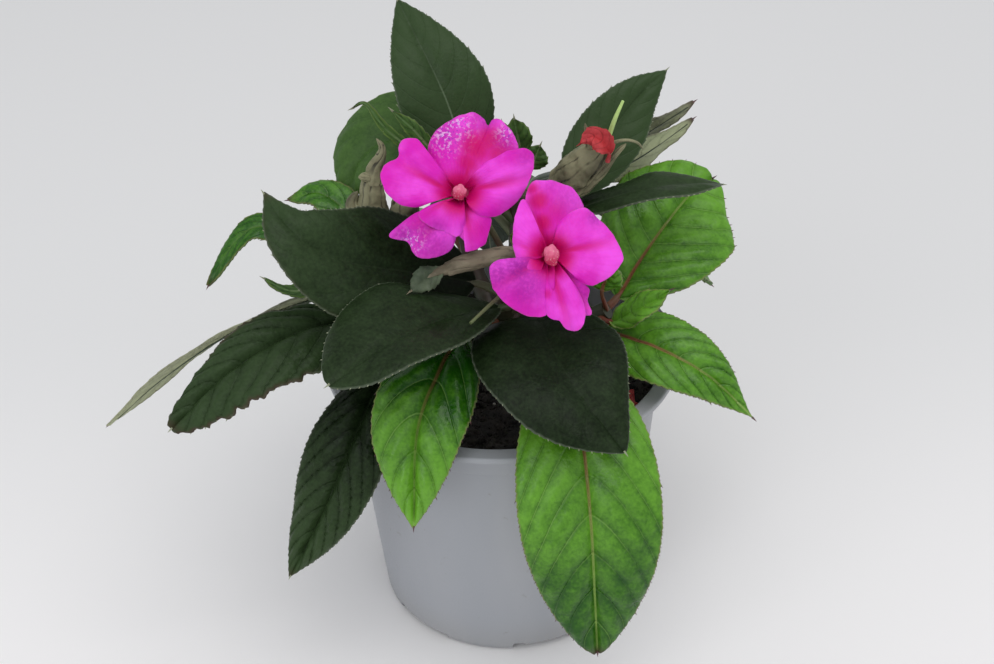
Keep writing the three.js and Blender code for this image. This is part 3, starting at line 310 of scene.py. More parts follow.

# Blooms: centre, the way each looks, the stalk, the spur, the knob's width and height, and the
# petals from back to front. A petal has a layer in front of the throat, the way its crease runs in
# degrees, the crease's depth, the height of its ruffle, and its outline in the bloom's frame: +X
# right and +Y up along the face. Spots of blush and speckle, and violet spots of painted shade
# where a petal lies under another or in shadow, are places in that frame with a radius and a
# strength.
BLOOMS = {
    "bloom_left": {
        "centre": (-12, -26, 187),
        "face": (0, -0.82, 0.57),
        "stalk": [(4, -24, 149), (2, -18, 158), (-6, -14, 173), (-12, -18, 182), (-12, -23, 184.8)],
        "spur": [(-11, -17, 179), (-14, -12, 178), (-18, -6, 170), (-18, -6, 158)],
        "knob": (4.3, 5.0),
        "petals": [
            ("top", 0.2, 74, 1.2, 0.9, [(-2, 1), (-6.7, 7.6), (-8.9, 11.8), (-10.1, 14.1),
             (-9.4, 17), (-7.4, 20.5), (-3.8, 23.2), (0.9, 25.5), (5.6, 26.5), (8.5, 24.8),
             (9.9, 22.2), (11.4, 24), (13.7, 24.2), (16.5, 21.3), (18.7, 17.8), (19.5, 14.2),
             (17.8, 10.2), (11.9, 6.9), (3, 1)],
             {"blush": [(6, 15, 7, 1), (10, 17, 6, 1), (3, 10, 5, 0.9), (13, 13, 6, 0.9)],
              "speckle": [(-4, 19, 5, 0.8), (0, 22, 4.5, 0.8), (-3, 15, 3, 0.6), (16, 19, 3, 0.7)],
              "violet": [(-4, 20, 5, 0.6), (9, 24, 4, 0.7), (16, 17, 5, 0.6)]}),
            ("low_back", 0.2, 226, 0.9, 0.6, [(0.5, -1), (-7.2, -4.4), (-13, -5.2), (-16, -6.4),
             (-19.6, -8.9), (-23.8, -12.5), (-21.2, -14.2), (-17.9, -14.7), (-16.4, -17.7),
             (-14.7, -20), (-10.7, -20.7), (-6, -19.4), (-2.3, -15.9), (0.6, -2)],
             {"speckle": [(-16, -15, 3.5, 0.7)], "violet": [(-19, -13, 5, 0.9), (-11, -14, 9, 0.7)],
              "blush": [(-13, -9, 5, 0.5)]}),
            ("low_right", 1.2, 280, 0.9, 0.5, [(-0.6, -1), (-0.8, -5), (-1.2, -9), (-1, -13.1),
             (1.2, -16.1), (1.1, -19), (4, -18.5), (7.5, -16.9), (8.9, -12.9), (9.9, -8.6),
             (6.7, -6), (1.5, -1)], {"blush": [(2, -9, 3, 0.7), (5, -12, 6, 0.5)]}),
            ("left", 1.6, 152, 1.6, 0.6, [(-0.6, 1.6), (-5, 6.2), (-8.9, 11.6), (-10.2, 13.1),
             (-11.5, 16.1), (-13.7, 18.5), (-17.9, 18.2), (-19.5, 15.9), (-19.6, 12.7),
             (-23.4, 11), (-25.4, 8.1), (-25.4, 5.2), (-23.8, 1.1), (-20.4, -2.5), (-17, -3.7),
             (-13.5, -3.9), (-9.4, -2.3), (-6.4, -0.9), (-1, -0.9)], {}),
            ("right", 1.8, 12, 1.6, 0.6, [(0.6, 1.6), (4.3, 5.3), (7.9, 9.2), (13.3, 12.6),
             (18, 13.6), (22, 13.9), (24.4, 12.1), (24.6, 9.2), (23.5, 5.2), (21.9, 1.7),
             (19.7, -2), (16.1, -5.3), (11.4, -7.8), (6.7, -7.9), (3.6, -6), (2.6, -3.6),
             (1.2, -0.8)], {"violet": [(22, 11, 4, 0.5)]}),
            ("low_front", 2.6, 212, 0.8, 0.5, [(-0.4, -0.8), (-4.7, -3), (-8.7, -3.1),
             (-12.3, -4.7), (-13.8, -6.4), (-12.7, -8.7), (-9.6, -10.7), (-5.6, -12.2),
             (-1.6, -14.1), (0.2, -12.7), (1.6, -9.4), (1.2, -1)],
             {"violet": [(-8, -11, 3, 0.5)]}),
        ],
    },
    "bloom_right": {
        "centre": (16, -44, 173),
        "face": (0.1, -0.82, 0.57),
        "stalk": [(5, -26, 149), (11, -28, 157), (15, -34, 166), (15.6, -41, 170.8)],
        "spur": [(15, -36, 167), (7, -34, 158), (-2, -46, 158), (-10, -57, 157)],
        "knob": (4.6, 6.8),
        "petals": [
            ("top", 0.2, 103, 1.8, 0.8, [(-1.4, 1), (-3.7, 10.5), (-5.5, 15.9), (-5.3, 19.9),
             (-3.5, 23.7), (-0.7, 24.9), (3.8, 23.9), (9.4, 21.5), (11.9, 17.9), (13, 14.4),
             (9.4, 10.4), (4.3, 6.2), (1.4, 1)],
             {"blush": [(-1.5, 18, 4, 1), (-1, 11, 4, 1), (-3, 22, 3, 0.8), (3, 14, 6, 0.6)],
              "violet": [(8, 18, 6, 0.5), (3, 22, 4, 0.4)]}),
            ("low_back", 0.2, 300, 0.6, 0.3, [(1, -0.5), (4.5, -7.7), (7.5, -15.5), (8.8, -19.4),
             (11.1, -20.4), (11.9, -19.4), (11.2, -15.3), (12, -11.9), (9.1, -8.7), (1.6, -0.4)],
             {"violet": [(9, -12, 5, 0.7)]}),
            ("left", 1.4, 152, 1.2, 0.4, [(-0.3, 1.4), (-2.1, 7.9), (-4.2, 13.3), (-5.4, 17.8),
             (-7.1, 18.8), (-9.5, 14.4), (-11, 8.8), (-11.3, 4.3), (-10.7, -0.4), (-8.7, -5.2),
             (-6.7, -7.4), (-4.9, -6.7), (-3.9, -3.4), (-0.8, -0.4)], {}),
            ("right", 1.8, 10, 1.7, 0.6, [(0.4, 1.4), (1.9, 5.8), (3.5, 9.7), (7.1, 12.8),
             (12.2, 14.4), (15.2, 12.5), (19.4, 7.8), (21.6, 3.8), (23.6, -1.6), (22.7, -4.9),
             (18.8, -8.6), (13.9, -10.7), (11, -10.4), (7.7, -8.3), (5.2, -4.3), (0.8, -0.6)],
             {"violet": [(16, 11, 3, 0.8)]}),
            ("low_left", 2.4, 206, 1.4, 0.5, [(-0.7, 0.4), (-3.1, -0.1), (-6.1, -0.9),
             (-11.2, 0.1), (-16.3, 0.5), (-19.5, -1.3), (-19.9, -4.4), (-19.3, -8.2),
             (-16.6, -12.8), (-12.9, -16.2), (-8, -18.7), (-3.4, -18.9), (-0.8, -15.8),
             (1, -7.4), (0.6, -0.6)],
             {"violet": [(-11, -3, 6, 1), (-17, -4, 5, 0.9), (-9, -9, 7, 0.8), (-15, -9, 5, 0.5)],
              "blush": [(-1, -12, 2.5, 0.8)]}),
            ("low_right", 2.9, 277, 1.2, 0.5, [(-0.6, -0.4), (-2.1, -6), (-3.4, -12.7),
             (-2.9, -19.1), (0.9, -21.2), (2.9, -24), (6.3, -24.7), (8.4, -22.8), (9.3, -18),
             (8, -12.2), (4.8, -6.9), (1, -0.6)], {"blush": [(-2.5, -12, 2.2, 0.7)]}),
        ],
    },
}
FADED_SPUR = ([(38.4, 3, 189.5), (40.9, 3, 197.5), (43.5, 3, 204.1)], [0.9, 0.8, 0.5])


# Node trees

class Nodes:
    """Adds nodes to a tree. Each input is a value, or another node's output to link."""

    def __init__(self, tree):
        self.tree = tree

    def __call__(self, kind, inputs=None, out=0, **settings):
        node = self.tree.nodes.new(kind)
        for name, value in settings.items():
            setattr(node, name, value)
        for key, value in (inputs or {}).items():
            if isinstance(value, bpy.types.NodeSocket):
                self.tree.links.new(value, node.inputs[key])
            else:
                node.inputs[key].default_value = value
        return node.outputs[out]

    def maths(self, operation, a, b=0.0):
        return self("ShaderNodeMath", {0: a, 1: b}, operation=operation)


def geometry_tree(name, inputs):
    """A Geometry Nodes tree with a mesh going in and out, and named inputs."""
    tree = bpy.data.node_groups.new(name, "GeometryNodeTree")
    tree.interface.new_socket("Mesh", in_out="INPUT", socket_type="NodeSocketGeometry")
    for label, kind in inputs:
        tree.interface.new_socket(label, in_out="INPUT", socket_type="NodeSocket" + kind)
    tree.interface.new_socket("Mesh", in_out="OUTPUT", socket_type="NodeSocketGeometry")
    source = tree.nodes.new("NodeGroupInput")
    return tree, Nodes(tree), source.outputs


def end_tree(tree, geometry):
    tree.links.new(geometry, tree.nodes.new("NodeGroupOutput").inputs[0])


def drop_empty_slots(mesh):
    for k in reversed(range(len(mesh.materials))):
        if mesh.materials[k] is None:
            mesh.materials.pop(index=k)


def grow(mesh, tree, values):
    """Runs a tree on a mesh and gives back the plain mesh that it makes."""
    thing = bpy.data.objects.new(mesh.name + "_source", mesh)
    bpy.context.scene.collection.objects.link(thing)
    modifier = thing.modifiers.new("grow", "NODES")
    modifier.node_group = tree
    for item in tree.interface.items_tree:
        if item.in_out == "INPUT" and item.name in values:
            modifier[item.identifier] = values[item.name]
    bpy.context.view_layer.update()
    evaluated = thing.evaluated_get(bpy.context.evaluated_depsgraph_get())
    result = bpy.data.meshes.new_from_object(evaluated)
    thing.modifiers.clear()
    bpy.data.objects.remove(thing)
    drop_empty_slots(result)
    return result


def attribute(nodes, name, kind="FLOAT"):
    return nodes("GeometryNodeInputNamedAttribute", {"Name": name}, data_type=kind)


def part_is(nodes, part):
    return nodes("FunctionNodeCompare", {0: attribute(nodes, "part"), 1: float(part), 12: 0.4},
                 data_type="FLOAT", operation="EQUAL")


def plant_tree():
    """Leaves sheets alone, turns paths into round tubes as thick as their girth, and stands a
    slender spine on every root point."""
    tree, nodes, given = geometry_tree("tubes_and_spines", [
        ("Tube sides", "Int"), ("Spine sides", "Int"),
        ("Tube finish", "Material"), ("Spine finish", "Material"),
    ])
    paths = nodes("GeometryNodeSeparateGeometry",
                  {"Geometry": given["Mesh"], "Selection": part_is(nodes, PATH)}, domain="POINT")
    rest = paths.node.outputs["Inverted"]
    roots = nodes("GeometryNodeSeparateGeometry",
                  {"Geometry": rest, "Selection": part_is(nodes, ROOT)}, domain="POINT")
    sheets = roots.node.outputs["Inverted"]
    girth = attribute(nodes, "girth")
    ring = nodes("GeometryNodeCurvePrimitiveCircle",
                 {"Resolution": given["Tube sides"], "Radius": 1.0})
    tubes = nodes("GeometryNodeCurveToMesh", {
        "Curve": nodes("GeometryNodeMeshToCurve", {"Mesh": paths}),
        "Profile Curve": ring, "Scale": girth, "Fill Caps": True,
    })
    spine = nodes("GeometryNodeMeshCone", {
        "Vertices": given["Spine sides"], "Radius Top": 0.08, "Radius Bottom": 1.0, "Depth": 1.0,
    })
    aim = attribute(nodes, "aim", "FLOAT_VECTOR")
    length = nodes("ShaderNodeVectorMath", {0: aim}, out=1, operation="LENGTH")
    spines = nodes("GeometryNodeInstanceOnPoints", {
        "Points": roots,
        "Instance": spine,
        "Rotation": nodes("FunctionNodeAlignRotationToVector", {"Vector": aim}, axis="Z"),
        "Scale": nodes("ShaderNodeCombineXYZ", {0: girth, 1: girth, 2: length}),
    })
    both = tree.nodes.new("GeometryNodeJoinGeometry")
    for geometry in (sheets, tubes, spines):
        tree.links.new(geometry, both.inputs[0])
    whole = nodes("GeometryNodeRealizeInstances", {"Geometry": both.outputs[0]})
    for part, finish in ((PATH, "Tube finish"), (ROOT, "Spine finish")):
        whole = nodes("GeometryNodeSetMaterial", {
            "Geometry": whole, "Selection": part_is(nodes, part), "Material": given[finish],
        })
    end_tree(tree, whole)
    return tree


# Shapes

# What a point belongs to, beside the sheets at 0.
PATH, ROOT = 1, 2
# Which finish of its piece a leaf's face or a husk takes.
UPPER, LOWER, HUSK = 0, 1, 2
FACTS = ("rib_mm", "vein", "edge_mm", "along", "tone", "blush", "violet", "ribbing",
         "veining", "part", "girth")


class Shape:
    """Points, edges and faces gathered for one mesh, with the finish of each face and the facts
    that trees and materials read at each point."""

    def __init__(self):
        self.points, self.edges, self.faces, self.finish, self.aims = [], [], [], [], []
        self.facts = {name: [] for name in FACTS}
        self.count = 0

    def add(self, points, faces=(), finish=0, edges=None, aims=None, **facts):
        points = np.asarray(points, float).reshape(-1, 3)
        self.points.append(points)
        self.aims.append(np.zeros_like(points) if aims is None else np.asarray(aims, float))
        for name in FACTS:
            value = np.asarray(facts.get(name, 0.0), float).ravel()
            self.facts[name].append(np.full(len(points), value[0]) if value.size == 1 else value)
        for block in faces:
            self.faces += (np.asarray(block, int) + self.count).tolist()
            self.finish += [finish] * len(block)
        if edges is not None:
            self.edges += (np.asarray(edges, int) + self.count).tolist()
        self.count += len(points)

    def add_path(self, places, girth, **facts):
        """A path that becomes a tube of that radius."""
        steps = np.arange(len(places) - 1)
        self.add(places, edges=np.stack([steps, steps + 1], axis=1), part=PATH,
                 girth=np.asarray(girth) * MM, **facts)

    def add_spines(self, roots, aims, girth, **facts):
        self.add(roots, aims=np.asarray(aims) * MM, part=ROOT, girth=girth * MM, **facts)

    def mesh(self, name, finishes):
        mesh = bpy.data.meshes.new(name)
        mesh.from_pydata((np.vstack(self.points) * MM).tolist(), self.edges, self.faces)
        for fact in FACTS:
            values = np.concatenate(self.facts[fact]).astype(np.float32)
            mesh.attributes.new(fact, "FLOAT", "POINT").data.foreach_set("value", values)
        aims = np.vstack(self.aims).astype(np.float32)
        mesh.attributes.new("aim", "FLOAT_VECTOR", "POINT").data.foreach_set("vector", aims.ravel())
        for finish in finishes:
            mesh.materials.append(finish)
        if self.faces:
            mesh.polygons.foreach_set("material_index", self.finish)
        mesh.update()
        return mesh


def piece(name, mesh, nodes, sharp=50):
    """Makes a finished piece of a mesh, puts it on the body and hides the imported parts it stands
    for.
    """
    mesh.name = name
    mesh.shade_smooth()
    mesh.set_sharp_from_angle(angle=math.radians(sharp))
    thing = bpy.data.objects.new(name, mesh)
    bpy.context.scene.collection.objects.link(thing)
    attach(thing, "root")
    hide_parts(*nodes)


LEAF_TUBE_SIDES, SPINE_SIDES = 10, 5


def grown_piece(name, shape, finishes, tube_finish, spine_finish, nodes,
                tube_sides=LEAF_TUBE_SIDES):
    mesh = grow(shape.mesh(name, finishes), TUBES_AND_SPINES, {
        "Tube sides": tube_sides, "Spine sides": SPINE_SIDES,
        "Tube finish": tube_finish, "Spine finish": spine_finish,
    })
    piece(name, mesh, nodes)


def unit(v):
    return v / np.maximum(np.linalg.norm(v, axis=-1, keepdims=True), 1e-9)


class Curve:
    """A smooth curve through points; places on it are shares of its length."""

    DIVISIONS = 300
    NUDGE = 0.004  # the share of the length from which a direction is taken

    def __init__(self, points):
        p = np.array(points, float)
        self.knots = np.vstack([2 * p[0] - p[1], p, 2 * p[-1] - p[-2]])
        self.spans = len(points) - 1
        self.steps = np.linspace(0, 1, self.DIVISIONS + 1)
        line = self.at(self.steps)
        run = np.concatenate([[0], np.cumsum(np.linalg.norm(np.diff(line, axis=0), axis=1))])
        self.length, self.shares = run[-1], run / run[-1]

    def at(self, t):
        x = np.clip(t, 0, 1) * self.spans
        i = np.minimum(x.astype(int), self.spans - 1)
        w = (x - i)[:, None]
        a, b, c, d = (self.knots[i + k] for k in range(4))
        return 0.5 * (2 * b + (c - a) * w + (2 * a - 5 * b + 4 * c - d) * w**2
                      + (3 * b - a - 3 * c + d) * w**3)

    def places(self, s):
        return self.at(np.interp(s, self.shares, self.steps))

    def tangents(self, s):
        ahead, behind = np.minimum(s + self.NUDGE, 1), np.maximum(s - self.NUDGE, 0)
        return unit(self.places(ahead) - self.places(behind))

    def share_of(self, knot):
        return float(np.interp(knot / self.spans, self.steps, self.shares))


def grid_faces(rows, columns):
    r, c = np.meshgrid(np.arange(rows - 1), np.arange(columns - 1), indexing="ij")
    a = (r * columns + c).ravel()
    return np.stack([a, a + 1, a + columns + 1, a + columns], axis=1)


def ring_walls(rows, columns, turned=False):
    """Faces between closed rings of points, one ring after the other."""
    k = np.arange(rows * columns).reshape(rows, columns)
    a, b = k[:-1], np.roll(k[:-1], -1, axis=1)
    corners = [a, a + columns, b + columns, b]
    if turned:
        corners = [a, b, b + columns, a + columns]
    return np.stack(corners, axis=-1).reshape(-1, 4)


def add_sheet(shape, middle, normal, thickness, upper_finish, lower_finish, **facts):
    """A thin closed sheet round a grid of points: upper face, lower face and rim."""
    rows, columns = middle.shape[:2]
    half = (np.broadcast_to(thickness, (rows, columns)) / 2)[..., None]
    points = np.vstack([(middle + normal * half).reshape(-1, 3),
                        (middle - normal * half).reshape(-1, 3)])
    faces, count = grid_faces(rows, columns), rows * columns
    k = np.arange(count).reshape(rows, columns)
    loop = np.concatenate([k[0, :-1], k[:-1, -1], k[-1, :0:-1], k[:0:-1, 0]])
    after = np.roll(loop, -1)
    rim = np.stack([loop, loop + count, after + count, after], axis=1)
    both = {name: np.tile(np.ravel(value), 2) if np.size(value) > 1 else value
            for name, value in facts.items()}
    shape.add(points, [faces], upper_finish, **both)
    shape.faces += (faces[:, ::-1] + count + shape.count - len(points)).tolist()
    shape.faces += (rim + shape.count - len(points)).tolist()
    shape.finish += [lower_finish] * (len(faces) + len(rim))


def lumps(points, size, seed):
    """Smooth noise from -1 to 1 at points, with lumps of about that many millimetres."""
    flat = points.reshape(-1, 3) / size + np.array([7.31, 3.17, 1.73]) * seed
    return np.array([noise.noise(Vector(p)) for p in flat]).reshape(points.shape[:-1])


# Leaves

# How finely a blade is built: rows along it, and columns from the midrib to each edge, which
# crowd at the edge.
FEWEST_ROWS, ROWS_PER_MM = 34, 1.3
FEWEST_COLUMNS, MOST_COLUMNS, COLUMNS_PER_MM = 7, 15, 0.4
EDGE_CROWDING = 0.6
BLADE_FROM, BLADE_TO = 0.006, 0.994

# Its form, in millimetres where nothing else is said.
TIP_ROUNDING, TIP_HALF_WIDTH = 0.6, 0.2
FEWEST_VEINS, FULL_VEINS_LENGTH, VEIN_CROWDING = 5, 75, 0.92
FADING_HALF_WIDTH = 6  # a blade narrower than this bulges less between its veins
RIB_GROOVE, RIB_GROOVE_WIDTH = 0.9, 1.1
FEWEST_TEETH, EDGE_STRETCH = 6, 1.08
SCALLOP, SCALLOP_HALF_WIDTH = 0.5, 3
TEAR_SIZE, SMALL_TEAR_SIZE, TEAR_DEPTH, TEAR_LIMIT = 5, 1.6, 2, 0.25
BROAD_LUMP, QUILT_LUMP, CRUMPLE_LUMP, PUCKER_LUMP, SCORCH_LUMP = 14, 6, 5, 4.2, 7
BROAD_RISE, WILTED_RISE, CRUMPLE_RISE = 0.8, 2.2, 1.6
TIP_SCORCH, EDGE_SCORCH = 3.2, 0.8
RIDGE_TO, RIDGE_LEAST, RIDGE_BASE, RIDGE_SWELL = 0.96, 0.16, 0.2, 0.55
SETTLING_SHARE = 0.06  # of the blade, over which the stalk sinks in to become the ridge
TOOTH_LEAN, TOOTH_RISE, TOOTH_GIRTH = 0.62, 0.12, 0.3
BARE_FOOT, TOOTHED_HALF_WIDTH, FULL_TOOTH_HALF_WIDTH = 0.07, 1.2, 7
TIP_SPINE, TIP_SPINE_GIRTH = 2.4, 0.45


def half_widths(leaf, u, length):
    """Half the blade's width at shares of its length."""
    widest = leaf["belly"] / (leaf["belly"] + leaf["taper"])

    def swell(t):
        return t ** leaf["belly"] * (1 - t) ** leaf["taper"]

    half = leaf["width"] / 2 * swell(u) / swell(widest)
    to_tip = np.clip((1 - u) * length, 0, None)
    return np.minimum(half, np.sqrt(to_tip * leaf["width"] * TIP_ROUNDING) + TIP_HALF_WIDTH)


def leaf_axes(leaf, s):
    """Midrib places at shares of the rib curve, with the ways along, up from and across the
    blade."""
    u = np.clip((s - leaf["start"]) / (1 - leaf["start"]), 0, 1)
    along = leaf["curve"].tangents(s)
    faces = np.array(leaf["faces"], float)
    up = faces[0] + (faces[1] - faces[0]) * u[:, None]
    up = unit(up - along * np.sum(up * along, axis=1, keepdims=True))
    return u, leaf["curve"].places(s), along, up, np.cross(along, up)


def blade_shares(leaf, length):
    """Shares of the blade's length, and of its half width from the left edge to the right."""
    rows = int(max(FEWEST_ROWS, length * ROWS_PER_MM))
    half_columns = int(max(FEWEST_COLUMNS, min(MOST_COLUMNS, leaf["width"] * COLUMNS_PER_MM)))
    ease = np.linspace(0, 1, half_columns + 1)
    side = (1 - EDGE_CROWDING) * ease + EDGE_CROWDING * np.sin(ease * np.pi / 2)
    return np.linspace(BLADE_FROM, BLADE_TO, rows), np.concatenate([-side[:0:-1], side])


def side_veins(leaf, u, size, length):
    """Which vein each place lies by: whole numbers on the veins, halves midway."""
    veins = max(FEWEST_VEINS, round(leaf["veins"] * min(1, length / FULL_VEINS_LENGTH)))
    sweep = VEIN_SWEEP * size**1.5 * np.sqrt(np.sin(np.pi * u))
    return veins * np.clip(u - sweep, 0, 1) ** VEIN_CROWDING


def quilting(leaf, phase, size, wide, half):
    """Bulges between the veins, and a groove along the midrib."""
    between = np.sin(np.abs(phase - np.round(phase)) * np.pi)
    shown = np.clip(half / FADING_HALF_WIDTH, 0, 1)[:, None]
    return leaf["quilt"] * shown * (between * np.sin(np.pi * size) ** 0.6
                                    - RIB_GROOVE * np.exp(-(size * wide / RIB_GROOVE_WIDTH) ** 2))


def edge_shift(leaf, u, v, half, length, teeth, seed):
    """How far places near the edge move out for scallops, or in where the edge is torn."""
    near_edge = np.clip(10 * np.abs(v) - 9, 0, 1)
    shift = SCALLOP * (((u * teeth) % 1) ** 1.5 - 0.5) * near_edge
    shift *= np.clip(half / SCALLOP_HALF_WIDTH, 0, 1)[:, None]
    torn = np.dstack([u * length, np.sign(v) * 9, 0 * u])
    torn = lumps(torn, TEAR_SIZE, seed + 6) + 0.5 * lumps(torn, SMALL_TEAR_SIZE, seed + 7)
    torn = np.minimum(torn, TEAR_LIMIT)
    return shift + torn * np.where(v < 0, *leaf["ragged"]) * TEAR_DEPTH * np.abs(v) ** 4


def add_ridge(shape, leaf):
    """The stalk, and the midrib's ridge that it runs on into."""
    s = np.concatenate([np.linspace(0, leaf["start"], 10, endpoint=False),
                        np.linspace(leaf["start"], RIDGE_TO, 34)])
    w, line, _, rise, _ = leaf_axes(leaf, s)
    ridge = (RIDGE_BASE + RIDGE_SWELL * leaf["ridge"]) * (1 - w) ** 0.8
    ridge = leaf["stalk"] * np.where(w > 0, ridge, 1.3 - 0.4 * s / leaf["start"])
    ridge = np.maximum(ridge, RIDGE_LEAST)
    settled = np.clip(w / SETTLING_SHARE, 0, 1)
    sink = settled * (ridge * 0.8 + leaf["quilt"] * 0.9)
    shape.add_path(line - rise * sink[:, None], ridge, along=w, tone=np.mean(leaf["tone"]),
                   ribbing=leaf["ribbing"])


def add_teeth(shape, leaf, u, half, place, along, up, across, teeth):
    """A short spine at the end of each scallop, leaning to the tip, and one at the tip."""
    marks = (np.arange(1, teeth) - 0.02) / teeth
    for edge, way in ((0, -1), (-1, 1)):
        rows_at = np.searchsorted(u, marks[marks > BARE_FOOT]).clip(0, len(u) - 1)
        rows_at = rows_at[half[rows_at] > TOOTHED_HALF_WIDTH]
        out = across[rows_at] * way
        aim = unit(TOOTH_LEAN * out + along[rows_at] + TOOTH_RISE * up[rows_at])
        share = np.clip(half[rows_at] / FULL_TOOTH_HALF_WIDTH, 0.4, 1)[:, None]
        roots = place[rows_at, edge] - out * 0.2 - aim * 0.1
        shape.add_spines(roots, aim * (leaf["tooth"] * share), TOOTH_GIRTH, along=u[rows_at])
    shape.add_spines([place[-1].mean(axis=0) - along[-1] * 0.6], [along[-1] * TIP_SPINE],
                     TIP_SPINE_GIRTH, along=1)


def add_leaf(shape, spec, seed):
    """Blade, stalk, midrib ridge and teeth of one leaf."""
    leaf = {**LEAF, **spec}
    leaf["curve"] = Curve(leaf["rib"])
    leaf["start"] = leaf["curve"].share_of(1)
    length = leaf["curve"].length * (1 - leaf["start"])
    u, v = blade_shares(leaf, length)
    u, middle, along, up, across = leaf_axes(leaf, leaf["start"] + (1 - leaf["start"]) * u)
    half = half_widths(leaf, u, length)
    uu, vv = np.meshgrid(u, v, indexing="ij")
    size, wide = np.abs(vv), half[:, None] * np.where(vv < 0, *leaf["sides"])
    phase = side_veins(leaf, uu, size, length)
    quilt = quilting(leaf, phase, size, wide, half)
    teeth = max(FEWEST_TEETH, round(length * EDGE_STRETCH / leaf["tooth_gap"]))
    shift = edge_shift(leaf, uu, vv, half, length, teeth, seed)
    place = middle[:, None] + across[:, None] * (vv * wide + np.sign(vv) * shift)[..., None]
    wave = EDGE_WAVE * vv**2 * np.sin(2 * np.pi * (2 * uu + np.where(vv > 0, 0.25, 0)))
    quilt = quilt * (1 + 0.5 * lumps(place, QUILT_LUMP, seed + 2))
    rough = lumps(place, BROAD_LUMP, seed) * (BROAD_RISE + WILTED_RISE * leaf["wilt"])
    rough = rough + lumps(place, PUCKER_LUMP, seed + 1) * leaf["puckers"]
    rough += lumps(place, CRUMPLE_LUMP, seed + 3) * leaf["wilt"] * CRUMPLE_RISE
    lift = wide * (leaf["fold"] * size - leaf["droop"] * vv**2) + wave + quilt
    lift += rough * np.clip(1.5 * size, 0, 1)
    place = place + up[:, None] * lift[..., None]
    tip_scorch, edge_scorch = leaf["scorch"]
    patches = np.clip(1 + 2 * lumps(place, SCORCH_LUMP, seed + 4), 0, 1)
    scorch = np.maximum(
        tip_scorch * np.exp(-((1 - uu) * length / TIP_SCORCH) ** 2),
        edge_scorch * np.exp(-((1 - size) * wide / EDGE_SCORCH) ** 2) * patches)
    # Where a row's tone changes from foot to tip, it paints light and shade along the blade.
    tone = np.interp(uu, [0, 1], np.broadcast_to(leaf["tone"], 2))
    add_sheet(shape, place, np.broadcast_to(up[:, None], place.shape), BLADE_THICKNESS, UPPER,
              LOWER, rib_mm=size * wide, vein=phase, edge_mm=(1 - size) * wide, along=uu,
              tone=tone, blush=scorch, ribbing=leaf["ribbing"], veining=leaf["veining"])
    add_ridge(shape, leaf)
    add_teeth(shape, leaf, u, half, place, along, up, across, teeth)


HUSK_SIDES = 84
FEWEST_HUSK_ROWS, HUSK_ROWS_PER_MM = 16, 1.7
CLOSING_ROWS = 3  # over which a husk draws together at each end
FOLD_WANDER = 0.45
HUSK_FACT = 5.0  # how far a husk counts as lying from a midrib and an edge
DENT_SIZE, DENT_DEPTH = 4.5, 0.16
SMALL_DENT_SIZE, SMALL_DENT_DEPTH = 1.8, 0.07


def add_husk(shape, points, radii, folds, depth, twist, seed):
    """A crumpled papery tube with lengthwise folds, drawn together at both ends."""
    curve = Curve(points)
    rows = int(max(FEWEST_HUSK_ROWS, curve.length * HUSK_ROWS_PER_MM))
    s = np.linspace(0, 1, rows)
    middle, along = curve.places(s), curve.tangents(s)
    side = unit(np.cross(along, [0.0, -0.82, 0.57]))
    front = np.cross(side, along)
    turn = np.linspace(0, 2 * np.pi, HUSK_SIDES, endpoint=False)
    girth = np.interp(s, np.linspace(0, 1, len(radii)), radii)
    drawn = np.sqrt(np.clip(np.minimum(s, 1 - s) * rows / CLOSING_ROWS, 0.05, 1))
    out = side[:, None] * np.cos(turn)[:, None] + front[:, None] * np.sin(turn)[:, None]
    phase = folds * (turn[None] + 2 * np.pi * twist * s[:, None]) / (2 * np.pi)
    phase = phase + FOLD_WANDER * lumps(out * 2 + middle[:, None] * 0.12, 1, seed)
    apart = np.abs(phase - np.round(phase))
    wave = 1 + depth * (np.sqrt(np.clip(2 * apart, 0, 1)) - 0.6)
    radius = girth[:, None] * drawn[:, None] * wave
    place = middle[:, None] + out * radius[..., None]
    dents = (lumps(place, DENT_SIZE, seed + 1) * DENT_DEPTH
             + lumps(place, SMALL_DENT_SIZE, seed + 2) * SMALL_DENT_DEPTH)
    place = place + out * (dents * girth[:, None])[..., None]
    first = shape.count
    shape.add(place, [ring_walls(rows, HUSK_SIDES, turned=True)], HUSK, vein=apart,
              along=np.repeat(s, HUSK_SIDES), tone=0.5, edge_mm=HUSK_FACT, rib_mm=HUSK_FACT,
              veining=1.0)
    ring = np.arange(HUSK_SIDES) + first
    shape.faces += [ring[::-1].tolist(), (ring + (rows - 1) * HUSK_SIDES).tolist()]
    shape.finish += [HUSK, HUSK]


def leaf_piece(name, colour, blades, seed):
    shape = Shape()
    kind = LEAF_KINDS[colour]
    for k, husk in enumerate(HUSKS.get(name, ())):
        add_husk(shape, *husk, seed + 5 * k)
    for k, blade in enumerate(blades):
        add_leaf(shape, {**kind["shape"], **blade}, seed + 11 * k)
    finishes = [FINISHES[kind[face]] for face in ("upper", "lower", "husk") if face in kind]
    grown_piece(name + "_leaf", shape, finishes, FINISHES[kind["stalk"]], FINISHES[kind["spine"]],
                [name])


def plain_tubes(name, shape, coat, nodes, sides):
    """A piece of tubes that have one finish."""
    grown_piece(name, shape, [FINISHES[coat]], FINISHES[coat], FINISHES[coat], nodes, sides)


# Finishes

FINISHES = {}

